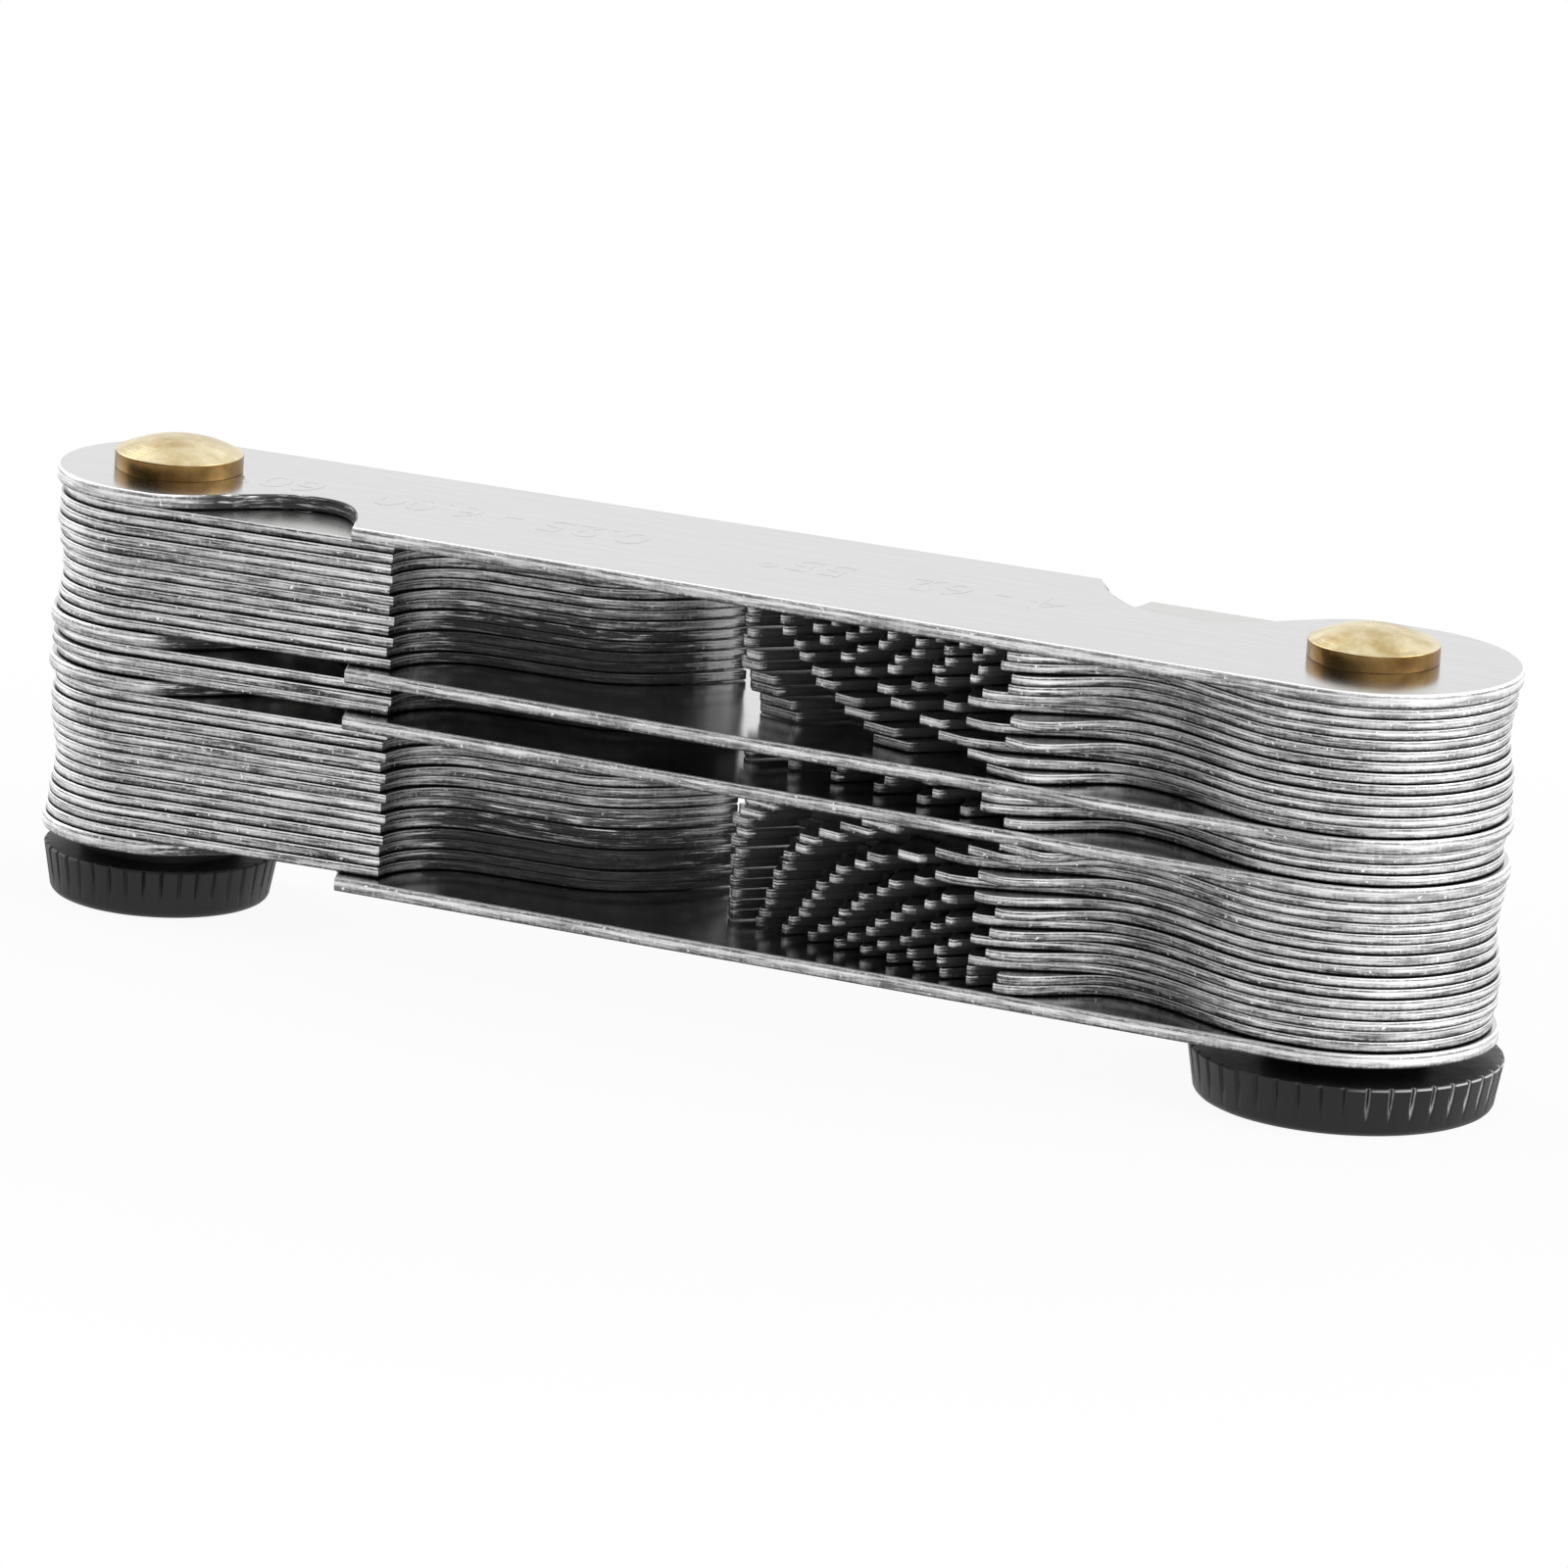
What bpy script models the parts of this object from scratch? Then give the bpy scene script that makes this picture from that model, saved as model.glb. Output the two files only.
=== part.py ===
"""Thread pitch gauge: 58 sheet-metal leaves swing on two brass screws between four case plates.

Lengths below are in millimetres. +X runs along the gauge from the left screw to the right
screw, +Y points to the back, +Z points up. The gauge stands on its two knurled lock nuts.
Leaf outlines are drawn in the leaf's own plane: u runs from the pivot towards the tip, and v
points towards the toothed side. A right-hand leaf is a left-hand leaf turned half a turn.
"""
import math

import bmesh
import bpy

MM = 0.001

# Case
PIVOT_DISTANCE = 53.7
PLATE_THICKNESS = 0.60
LEAF_THICKNESS = 0.395
LAYER_GAP = 0.05
FUSE_OVERLAP = 0.03
BORE_OVERRUN = 0.6

# Screws
SHANK_RADIUS = 1.55
SHANK_CLEARANCE = 0.20
HEAD_RADIUS = 2.69
HEAD_RIM_HEIGHT = 0.70
HEAD_DOME_HEIGHT = 0.64
HEAD_SEAT_GAP = 0.03
SHANK_END_RECESS = 0.3

# Lock nuts
NUT_COLLAR_HEIGHT = 0.67
NUT_COLLAR_WALL = 1.66
NUT_RIM_HEIGHT = 2.11
NUT_TAPER = 0.29
NUT_EDGE_ROUND = 0.38
NUT_FLUTE_DEPTH = 0.18
NUT_BORE_CLEARANCE = 0.20
NUT_SEAT_GAP = 0.07

# Leaves
TOOTHED_LENGTH = 13.9
TOOTH_FLAT_SHARE = 0.24
TOOTH_DEPTH_LIMIT = 2.0
NECK_OFFSET = 1.76
HEEL_FILLET_LENGTH = 3.1
TIP_SWEEP_LENGTH = 5.5
TIP_SWEEP_POWER = 1.8
NOTCH_POWER = 2.6
TIP_WIDTH = 0.5
TIP_CORNER = 0.3
COARSE_TIP_CUT = 0.5
WAIST_PLACE = 8.7
WAIST_DEPTH = 2.5
SIDE_STRAIGHT = 0.8
LEAF_END_INSET = 0.26
SHOULDER_INSET = 0.25

# Spread of the leaves at rest
END_SPREAD = 0.2
HEEL_SPREAD = 0.3
ANGLE_SPREAD = 0.3
LENGTH_SPREAD = 0.25

# Thread series, coarse pitches in millimetres or in threads for each inch
METRIC_FINE = (0.25, 0.30, 0.35, 0.40, 0.45, 0.50, 0.60, 0.70, 0.75, 0.80, 0.90, 1.00)
METRIC_COARSE = (1.25, 1.50, 1.75, 2.00, 2.50, 3.00, 3.50, 4.00, 4.50, 5.00, 5.50, 6.00)
INCH_FINE = (19, 20, 22, 24, 25, 26, 28, 30, 32, 36, 40, 48, 60, 62)
INCH_COARSE = (4, 4.5, 5, 6, 7, 8, 9, 10, 11, 12, 13, 14, 16, 18)
PIPE_LEFT = (28, 19, 14)
PIPE_RIGHT = (8, 10, 11)
INCH = 25.4
METRIC_ANGLE = 60.0
INCH_ANGLE = 55.0
FLAT_CREST_FROM = 2.0
TIP_CUT_FROM = 4.0
TOOTHED_FROM = 0.85

# Facets
END_SEGMENTS = 8
PLATE_SEGMENTS = 14
NOTCH_SEGMENTS = 7
CURVE_SEGMENTS = 3
BORE_SEGMENTS = 10
TURN_SEGMENTS = 24
WELD_DISTANCE = 0.001

STEEL = ("bright_nickel_steel", (0.62, 0.62, 0.61, 1.0), 0.28, 1.0)
SPRING_STEEL = ("spring_steel", (0.48, 0.48, 0.47, 1.0), 0.38, 1.0)
BRASS = ("turned_brass", (0.72, 0.50, 0.20, 1.0), 0.25, 1.0)
BLACK_OXIDE = ("black_oxide_steel", (0.025, 0.025, 0.025, 1.0), 0.42, 0.6)


class End:
    """One end of the gauge: which way its leaves point, and its own widths and lengths."""

    def __init__(self, name, side, radius, nut_radius, flutes, leaf_length, heel_length,
                 tip_height, rest_angle, notch_corner, notch_bottom, notch_floor, notch_outlet):
        self.name = name
        self.side = side
        self.radius = radius
        self.nut_radius = nut_radius
        self.flutes = flutes
        self.leaf_length = leaf_length
        self.heel_length = heel_length
        self.tip_height = tip_height
        self.rest_angle = rest_angle
        self.notch_corner = notch_corner
        self.notch_bottom = notch_bottom
        self.notch_floor = notch_floor
        self.notch_outlet = notch_outlet


LEFT = End("left", -1, radius=5.05, nut_radius=4.93, flutes=40, leaf_length=25.1,
           heel_length=12.1, tip_height=2.8, rest_angle=2.2, notch_corner=10.6,
           notch_bottom=7.2, notch_floor=1.28, notch_outlet=0.8)
RIGHT = End("right", 1, radius=6.11, nut_radius=6.43, flutes=42, leaf_length=26.9,
            heel_length=12.1, tip_height=1.7, rest_angle=0.0, notch_corner=14.2,
            notch_bottom=8.6, notch_floor=1.54, notch_outlet=2.0)

# Places that follow from the sizes
NUT_HEIGHT = NUT_RIM_HEIGHT + NUT_COLLAR_HEIGHT
LAYER_PITCH = LEAF_THICKNESS + LAYER_GAP
BANKS = (len(METRIC_FINE), len(PIPE_LEFT), len(INCH_FINE))
STACK_BOTTOM = NUT_HEIGHT + NUT_SEAT_GAP
STACK_HEIGHT = 4 * PLATE_THICKNESS + sum(BANKS) * LAYER_PITCH + 3 * LAYER_GAP
STACK_TOP = STACK_BOTTOM + STACK_HEIGHT
BORE_RADIUS = SHANK_RADIUS + SHANK_CLEARANCE
REACH_LEFT = PIVOT_DISTANCE / 2 + max(LEFT.radius, LEFT.nut_radius)
REACH_RIGHT = PIVOT_DISTANCE / 2 + max(RIGHT.radius, RIGHT.nut_radius)
CENTRE_X = (REACH_LEFT - REACH_RIGHT) / 2


def pivot_x(end):
    """Place of an end's screw along the gauge, with the whole gauge centred on the origin."""
    return CENTRE_X + end.side * PIVOT_DISTANCE / 2


def scatter(index, kind):
    """A fixed, uneven value from -1 to 1 for one leaf, as hand-closed leaves lie."""
    return math.sin(index * 2.399 + kind * 1.7) * math.cos(index * 0.731 + kind * 4.1)


def drift(index):
    """A slow sway from -1 to 1 up the stack, with a little scatter: leaves lie in groups."""
    return 0.65 * math.sin(index * 0.31 + 1.9 * (index % 2)) + 0.35 * scatter(index, 1)


def reset_scene():
    for item in list(bpy.data.objects):
        bpy.data.objects.remove(item, do_unlink=True)


def new_collection(name, parent=None):
    collection = bpy.data.collections.new(name)
    (parent or bpy.context.scene.collection).children.link(collection)
    return collection


def make_material(spec):
    """A Principled material from its name, colour, roughness and metallic value."""
    name, colour, roughness, metallic = spec
    material = bpy.data.materials.get(name)
    if material is None:
        material = bpy.data.materials.new(name)
        material.use_nodes = True
        shader = material.node_tree.nodes["Principled BSDF"]
        shader.inputs["Base Color"].default_value = colour
        shader.inputs["Roughness"].default_value = roughness
        shader.inputs["Metallic"].default_value = metallic
    return material


def arc(centre, radius, start, stop, segments):
    """Points along a circle from one angle to another, in degrees, both ends included."""
    points = []
    for step in range(segments + 1):
        angle = math.radians(start + (stop - start) * step / segments)
        points.append((centre[0] + radius * math.cos(angle), centre[1] + radius * math.sin(angle)))
    return points


def blend(start, stop, segments):
    """An S-shaped run between two points, level at both ends, without its first point."""
    points = []
    for step in range(1, segments + 1):
        share = step / segments
        ease = (1 - math.cos(math.pi * share)) / 2
        points.append((start[0] + (stop[0] - start[0]) * share,
                       start[1] + (stop[1] - start[1]) * ease))
    return points


def hollow_corner(start, stop, segments):
    """A quarter of an ellipse that leaves start across the leaf and meets stop along it."""
    points = []
    for step in range(1, segments + 1):
        angle = math.pi / 2 * step / segments
        points.append((stop[0] - (stop[0] - start[0]) * math.cos(angle),
                       start[1] + (stop[1] - start[1]) * math.sin(angle)))
    return points


def sweep(start, stop, power, segments):
    """A run that leaves start along the sheet and grows ever steeper towards stop."""
    points = []
    for step in range(1, segments + 1):
        share = step / segments
        points.append((start[0] + (stop[0] - start[0]) * share,
                       start[1] + (stop[1] - start[1]) * share ** power))
    return points


def turned(points, end, index):
    """A leaf outline laid in the plan of its end, closed as it lies at rest."""
    angle = math.radians(end.rest_angle + ANGLE_SPREAD * scatter(index, 3))
    cosine, sine = math.cos(angle), math.sin(angle)
    flip = -end.side
    placed = []
    for u, v in points:
        placed.append((flip * (u * cosine - v * sine), flip * (u * sine + v * cosine)))
    return placed


def tooth_form(pitch, flank_angle):
    """One tooth: the width of its flat crest and root, the run of a flank, and the depth."""
    slope = math.tan(math.radians(flank_angle / 2))
    if pitch < FLAT_CREST_FROM:
        return 0.0, pitch / 2, pitch / 2 * (1 - TOOTH_FLAT_SHARE / 2) / slope
    flank_run = min(pitch / 2 * (1 - TOOTH_FLAT_SHARE), TOOTH_DEPTH_LIMIT * slope)
    return pitch / 2 - flank_run, flank_run, flank_run / slope


def tooth_run(tip, shoulder, pitch, flank_angle):
    """Teeth along the slanted edge from the tip inwards, up to the crest next to the shoulder."""
    reach = math.dist(tip, shoulder)
    along = ((shoulder[0] - tip[0]) / reach, (shoulder[1] - tip[1]) / reach)
    flat, flank_run, depth = tooth_form(pitch, flank_angle)

    def at(distance, below):
        """A point at a distance along the edge and at a depth into the leaf."""
        return (tip[0] + along[0] * distance - along[1] * below,
                tip[1] + along[1] * distance + along[0] * below)

    if pitch < TOOTHED_FROM:
        return [tip, shoulder]
    points = []
    count = int(reach / pitch)
    for number in range(count):
        start = number * pitch
        points.append(at(start, 0.0))
        if flat:
            points.append(at(start + flat, 0.0))
        points.append(at(start + flat + flank_run, depth))
        if flat:
            points.append(at(start + 2 * flat + flank_run, depth))
    points.append(at(count * pitch, 0.0))
    if flat:
        points.append(at(count * pitch + flat, 0.0))
    return points


def leaf_outline(end, pitch, flank_angle, index):
    """The sheet outline of one leaf, from the toothed side of its round end."""
    radius = end.radius - LEAF_END_INSET + END_SPREAD * drift(index)
    length = end.leaf_length + LENGTH_SPREAD * scatter(index, 2)
    length -= COARSE_TIP_CUT * max(0.0, pitch - TIP_CUT_FROM)
    heel = end.heel_length + HEEL_SPREAD * scatter(index, 4)
    neck_start = heel + HEEL_FILLET_LENGTH
    neck_end = length - TIP_SWEEP_LENGTH
    tip = (length - TIP_CORNER, end.tip_height)
    shoulder = (tip[0] - TOOTHED_LENGTH, end.radius - SHOULDER_INSET)
    waist = (WAIST_PLACE, radius - WAIST_DEPTH)
    points = arc((0.0, 0.0), radius, 90, 270, END_SEGMENTS)
    points.append((heel, -radius))
    points += hollow_corner((heel, -radius), (neck_start, -NECK_OFFSET), CURVE_SEGMENTS)
    points.append((neck_end, -NECK_OFFSET))
    points += sweep((neck_end, -NECK_OFFSET), (length, end.tip_height - TIP_WIDTH),
                    TIP_SWEEP_POWER, CURVE_SEGMENTS)
    points += tooth_run(tip, shoulder, pitch, flank_angle)
    points += blend(points[-1], waist, CURVE_SEGMENTS)
    points += blend(waist, (SIDE_STRAIGHT, radius), CURVE_SEGMENTS)
    return points


def notch(end, sign):
    """A finger notch on one edge: hollow on its inner side, easing into the round end outside.

    The points run from the round end inwards.
    """
    lean = (RIGHT.radius - LEFT.radius) / PIVOT_DISTANCE
    corner = (end.notch_corner, end.radius - end.side * lean * end.notch_corner)
    bottom = (end.notch_bottom, end.notch_floor)
    inner = sweep(bottom, corner, NOTCH_POWER, NOTCH_SEGMENTS)
    outer = blend(bottom, (end.notch_outlet, end.radius), NOTCH_SEGMENTS)
    run = inner[::-1] + [bottom] + outer
    return [(pivot_x(end) - end.side * u, sign * v) for u, v in reversed(run)]


def plate_outline():
    """A case plate: two round ends, straight tapered edges and a finger notch for each end."""
    left_centre = (pivot_x(LEFT), 0.0)
    right_centre = (pivot_x(RIGHT), 0.0)
    top = 90 + math.degrees(math.asin((RIGHT.radius - LEFT.radius) / PIVOT_DISTANCE))
    points = arc(left_centre, LEFT.radius, top, 270, PLATE_SEGMENTS)
    points += notch(LEFT, -1)
    points += arc(right_centre, RIGHT.radius, -top, 90, PLATE_SEGMENTS)
    points += notch(RIGHT, 1)
    return points


def sheet(name, outline, thickness, collection, material, origin, plane_z):
    """A sheet part: one closed outline, extruded to the thickness of the sheet."""
    body = bmesh.new()
    rim = [body.verts.new(((x - origin) * MM, y * MM, -thickness / 2 * MM)) for x, y in outline]
    face = body.faces.new(rim)
    grown = bmesh.ops.extrude_face_region(body, geom=[face])["geom"]
    moved = [item for item in grown if isinstance(item, bmesh.types.BMVert)]
    bmesh.ops.translate(body, verts=moved, vec=(0.0, 0.0, thickness * MM))
    bmesh.ops.recalc_face_normals(body, faces=body.faces)
    mesh = bpy.data.meshes.new(name)
    body.to_mesh(mesh)
    body.free()
    mesh.materials.append(material)
    solid = bpy.data.objects.new(name, mesh)
    solid.location = (origin * MM, 0.0, plane_z * MM)
    collection.objects.link(solid)
    return solid


def boolean(target, group, operation):
    """Join to the target, or cut from it, every guide in a collection in one step."""
    modifier = target.modifiers.new(group.name, "BOOLEAN")
    modifier.operation = operation
    modifier.solver = "EXACT"
    modifier.operand_type = "COLLECTION"
    modifier.collection = group


def hide_guide(guide):
    guide.hide_render = True
    guide.display_type = "WIRE"


def cylinder(name, radius, bottom, top, segments, end, collection):
    """A plain round guide on one end's screw axis."""
    mesh = bpy.data.meshes.new(name)
    body = bmesh.new()
    bmesh.ops.create_cone(body, cap_ends=True, segments=segments, radius1=radius * MM,
                          radius2=radius * MM, depth=(top - bottom) * MM)
    body.to_mesh(mesh)
    body.free()
    guide = bpy.data.objects.new(name, mesh)
    guide.location = (pivot_x(end) * MM, 0.0, (top + bottom) / 2 * MM)
    collection.objects.link(guide)
    hide_guide(guide)
    return guide


def make_screw_holes(guides):
    """The two long cutters that bore every plate and leaf for its screw."""
    holes = new_collection("screw_holes", guides)
    for end in (LEFT, RIGHT):
        cylinder(f"{end.name}_hole", BORE_RADIUS, STACK_BOTTOM - BORE_OVERRUN,
                 STACK_TOP + BORE_OVERRUN, BORE_SEGMENTS, end, holes)
    return holes


def make_case_plate(name, top, parts, holes):
    """A plain case plate with its two screw holes, its upper face at the given height."""
    plate = sheet(name, plate_outline(), PLATE_THICKNESS, parts, make_material(STEEL),
                  CENTRE_X, top - PLATE_THICKNESS / 2)
    boolean(plate, holes, "DIFFERENCE")
    return plate


def make_divider(name, top, layers, parts, guides, holes):
    """A divider plate with the pipe-thread leaves that lie on it and are joined to it.

    layers lists one entry for each leaf: its end, threads for each inch, number and the
    heights of its lower and upper face. Each leaf laps FUSE_OVERLAP into what carries it.
    """
    plate = sheet(name, plate_outline(), PLATE_THICKNESS, parts, make_material(STEEL),
                  CENTRE_X, top - PLATE_THICKNESS / 2)
    leaves = new_collection(f"{name}_leaves", guides)
    for end, threads, index, low, high in layers:
        outline = turned(leaf_outline(end, INCH / threads, INCH_ANGLE, index), end, index)
        outline = [(x + pivot_x(end), y) for x, y in outline]
        leaf = sheet(f"{name}_leaf_{index}", outline, high - low, leaves,
                     make_material(SPRING_STEEL), pivot_x(end), (low + high) / 2)
        hide_guide(leaf)
    boolean(plate, leaves, "UNION")
    boolean(plate, holes, "DIFFERENCE")
    return plate


def make_leaf(name, end, pitch, flank_angle, index, plane_z, parts, holes):
    """One loose leaf on its screw, with its origin on the screw's axis."""
    outline = turned(leaf_outline(end, pitch, flank_angle, index), end, index)
    outline = [(x + pivot_x(end), y) for x, y in outline]
    leaf = sheet(name, outline, LEAF_THICKNESS, parts, make_material(SPRING_STEEL),
                 pivot_x(end), plane_z)
    boolean(leaf, holes, "DIFFERENCE")
    return leaf


def turned_solid(name, profile, end, collection, material):
    """A turned solid: a closed half profile, spun about the screw's axis."""
    mesh = bpy.data.meshes.new(name)
    vertices = [(radius * MM, 0.0, height * MM) for radius, height in profile]
    mesh.from_pydata(vertices, [(i, i + 1) for i in range(len(profile) - 1)], [])
    solid = bpy.data.objects.new(name, mesh)
    solid.location = (pivot_x(end) * MM, 0.0, 0.0)
    collection.objects.link(solid)
    mesh.materials.append(material)
    spin = solid.modifiers.new("spin", "SCREW")
    spin.steps = TURN_SEGMENTS
    spin.render_steps = TURN_SEGMENTS
    spin.use_merge_vertices = True
    spin.merge_threshold = WELD_DISTANCE * MM
    return solid


def make_screw(end, parts):
    """A brass shoulder screw: low domed head, rim and a smooth shank down into the nut."""
    seat = STACK_TOP + HEAD_SEAT_GAP
    rim_top = seat + HEAD_RIM_HEIGHT
    half = HEAD_RADIUS
    sphere = (half ** 2 + HEAD_DOME_HEIGHT ** 2) / (2 * HEAD_DOME_HEIGHT)
    dome_centre = rim_top + HEAD_DOME_HEIGHT - sphere
    widest = math.degrees(math.asin(half / sphere))
    profile = [(sphere * math.sin(math.radians(widest * step / CURVE_SEGMENTS)),
                dome_centre + sphere * math.cos(math.radians(widest * step / CURVE_SEGMENTS)))
               for step in range(CURVE_SEGMENTS + 1)]
    profile += [(half, seat), (SHANK_RADIUS, seat), (SHANK_RADIUS, SHANK_END_RECESS),
                (0.0, SHANK_END_RECESS)]
    return turned_solid(f"{end.name}_screw", profile, end, parts, make_material(BRASS))


def fluted_ring(radius, flutes, depth):
    """Points round a fluted rim, crest and valley in turn, with a crest on each axis."""
    points = []
    for step in range(2 * flutes):
        angle = math.pi * step / flutes
        reach = radius - depth * (step % 2)
        points.append((reach * math.cos(angle), reach * math.sin(angle)))
    return points


def make_nut(end, parts, guides):
    """A round black lock nut: narrow collar above, fluted rim that tapers to a rounded foot."""
    foot_radius = end.nut_radius - NUT_TAPER - NUT_EDGE_ROUND
    bore = SHANK_RADIUS + NUT_BORE_CLEARANCE
    sections = [(foot_radius, 0.0, NUT_FLUTE_DEPTH),
                (end.nut_radius - NUT_TAPER, NUT_EDGE_ROUND, NUT_FLUTE_DEPTH),
                (end.nut_radius, NUT_RIM_HEIGHT, NUT_FLUTE_DEPTH)]
    name = f"{end.name}_lock_nut"
    body = bmesh.new()
    rings = []
    for radius, height, depth in sections:
        ring = [body.verts.new((x * MM, y * MM, height * MM))
                for x, y in fluted_ring(radius, end.flutes, depth)]
        rings.append(ring)
    for lower, upper in zip(rings, rings[1:]):
        for step in range(len(lower)):
            after = (step + 1) % len(lower)
            body.faces.new((lower[step], lower[after], upper[after], upper[step]))
    body.faces.new(rings[0])
    body.faces.new(rings[-1])
    bmesh.ops.recalc_face_normals(body, faces=body.faces)
    mesh = bpy.data.meshes.new(name)
    body.to_mesh(mesh)
    body.free()
    mesh.materials.append(make_material(BLACK_OXIDE))
    nut = bpy.data.objects.new(name, mesh)
    nut.location = (pivot_x(end) * MM, 0.0, 0.0)
    parts.objects.link(nut)
    collars = new_collection(f"{name}_collar", guides)
    bores = new_collection(f"{name}_bore", guides)
    cylinder(f"{name}_collar_ring", bore + NUT_COLLAR_WALL, NUT_RIM_HEIGHT / 2, NUT_HEIGHT,
             TURN_SEGMENTS, end, collars)
    cylinder(f"{name}_bore_cutter", bore, -BORE_OVERRUN, NUT_HEIGHT + BORE_OVERRUN,
             BORE_SEGMENTS, end, bores)
    boolean(nut, collars, "UNION")
    boolean(nut, bores, "DIFFERENCE")
    return nut


def make_bank(kind, flank_angle, left, right, first_index, top, parts, holes):
    """A bank of loose leaves below the given height: one left and one right in each layer."""
    plane_z = top - LAYER_GAP - LEAF_THICKNESS / 2
    for layer, pair in enumerate(zip(left, right)):
        for end, value in zip((LEFT, RIGHT), pair):
            pitch = value if kind == "metric" else INCH / value
            label = f"{value:.2f}" if kind == "metric" else f"{value:g}"
            index = first_index + 2 * layer + (end is RIGHT)
            make_leaf(f"{kind}_leaf_{label}", end, pitch, flank_angle, index, plane_z, parts, holes)
        plane_z -= LAYER_PITCH


def make_middle(top, parts, guides, holes):
    """The two dividers with the pipe-thread leaves between them, two layers above, one below."""
    upper_bottom = top - PLATE_THICKNESS
    first_low = upper_bottom - LEAF_THICKNESS
    second_low = first_low - LEAF_THICKNESS
    lower_top = upper_bottom - BANKS[1] * LAYER_PITCH - LAYER_GAP
    third_high = lower_top + LEAF_THICKNESS
    upper_layers, lower_layers = [], []
    for end, threads, index in ((LEFT, PIPE_LEFT, 100), (RIGHT, PIPE_RIGHT, 110)):
        upper_layers.append((end, threads[0], index, first_low, upper_bottom + FUSE_OVERLAP))
        upper_layers.append((end, threads[1], index + 1, second_low, first_low + FUSE_OVERLAP))
        lower_layers.append((end, threads[2], index + 2, lower_top - FUSE_OVERLAP, third_high))
    make_divider("upper_divider", top, upper_layers, parts, guides, holes)
    make_divider("lower_divider", lower_top, lower_layers, parts, guides, holes)
    return lower_top - PLATE_THICKNESS


def main():
    reset_scene()
    parts = new_collection("thread_pitch_gauge")
    guides = new_collection("cutters")
    holes = make_screw_holes(guides)
    make_case_plate("top_cover", STACK_TOP, parts, holes)
    height = STACK_TOP - PLATE_THICKNESS
    make_bank("metric", METRIC_ANGLE, METRIC_FINE, METRIC_COARSE, 0, height, parts, holes)
    height -= BANKS[0] * LAYER_PITCH + LAYER_GAP
    height = make_middle(height, parts, guides, holes)
    make_bank("inch", INCH_ANGLE, INCH_FINE, INCH_COARSE, 40, height, parts, holes)
    height -= BANKS[2] * LAYER_PITCH + LAYER_GAP
    make_case_plate("bottom_cover", height, parts, holes)
    for end in (LEFT, RIGHT):
        make_screw(end, parts)
        make_nut(end, parts, guides)


main()
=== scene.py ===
"""Looks of the thread pitch gauge: toothed steel leaves, bright plates, brass screws, black nuts.

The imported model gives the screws' places and every height. Sheet outlines are drawn in
millimetres in the leaf's own plane: u runs from the screw to the tip and v points to the
toothed side. A finished piece is then put in metres, where its node lies.
"""

import math

import bmesh
import bpy
from mathutils import Matrix, Vector


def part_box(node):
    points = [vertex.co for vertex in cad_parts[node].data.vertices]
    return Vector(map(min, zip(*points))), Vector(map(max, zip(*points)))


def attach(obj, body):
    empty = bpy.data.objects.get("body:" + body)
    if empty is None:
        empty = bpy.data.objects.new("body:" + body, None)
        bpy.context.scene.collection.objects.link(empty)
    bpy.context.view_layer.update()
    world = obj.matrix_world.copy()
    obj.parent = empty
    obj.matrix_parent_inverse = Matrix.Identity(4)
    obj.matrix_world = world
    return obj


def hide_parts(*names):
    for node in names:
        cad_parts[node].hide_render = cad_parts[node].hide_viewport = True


MM = 0.001
INCH = 25.4

# Sheets, as in the solids
PLATE_THICKNESS = 0.60
LEAF_THICKNESS = 0.395
LAYER_GAP = 0.05
BORE_RADIUS = 1.75

# Leaf outline, as in the solids
TOOTHED_LENGTH = 13.9
TOOTH_FLAT_SHARE = 0.24
TOOTH_DEPTH_LIMIT = 2.0
NECK_OFFSET = 1.76
HEEL_FILLET_LENGTH = 3.1
TIP_SWEEP_LENGTH = 5.5
TIP_SWEEP_POWER = 1.8
NOTCH_POWER = 2.6
TIP_WIDTH = 0.5
TIP_CORNER = 0.3
COARSE_TIP_CUT = 0.5
TIP_CUT_FROM = 4.0
WAIST_PLACE = 8.7
WAIST_DEPTH = 2.5
SIDE_STRAIGHT = 0.8
LEAF_END_INSET = 0.26
SHOULDER_INSET = 0.25
END_SPREAD = 0.2
HEEL_SPREAD = 0.3
ANGLE_SPREAD = 0.3
LENGTH_SPREAD = 0.25

# Thread series, pitches in millimetres or threads for each inch
METRIC_FINE = (0.25, 0.30, 0.35, 0.40, 0.45, 0.50, 0.60, 0.70, 0.75, 0.80, 0.90, 1.00)
METRIC_COARSE = (1.25, 1.50, 1.75, 2.00, 2.50, 3.00, 3.50, 4.00, 4.50, 5.00, 5.50, 6.00)
INCH_FINE = (19, 20, 22, 24, 25, 26, 28, 30, 32, 36, 40, 48, 60, 62)
INCH_COARSE = (4, 4.5, 5, 6, 7, 8, 9, 10, 11, 12, 13, 14, 16, 18)
PIPE_LEFT = (28, 19, 14)
PIPE_RIGHT = (8, 10, 11)
METRIC_ANGLE = 60.0
INCH_ANGLE = 55.0

# Edge finish of the sheets
LEAF_EDGE_ROUND = 0.035
FINE_TOOTH_ROUND_SHARE = 0.08
PLATE_EDGE_ROUND = 0.09
EDGE_ROUND_ANGLE = 75.0
SMOOTH_ANGLE = 20.0

# Painted shade: a dark film on the leaf edges where the stack shades them. How soon it sets in
# below a crest, past the heel and off the tip, and how much of it the top rows, the deeper rows
# and the waist keep
FLANK_SHADE_RATE = 4.0
NECK_RAMP = 1.6
HIGHLIGHTED_TIP = 0.9
TOP_ROW_SHADE = 0.38
DEEP_ROW_SHADE = 1.36
DEEP_ROWS_FROM = 0.4
DEEP_ROWS_RAMP = 0.35
WAIST_SHADE = 0.45
SHADE_FILM_ROUGHNESS = 0.7

# Painted shade down a plate's notch: the depth where it sets in, and its ramp as a multiple of
# that
COVER_SHADE_START = 0.3
DIVIDER_SHADE_START = 0.08
NOTCH_RAMP = 4.0
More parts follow.
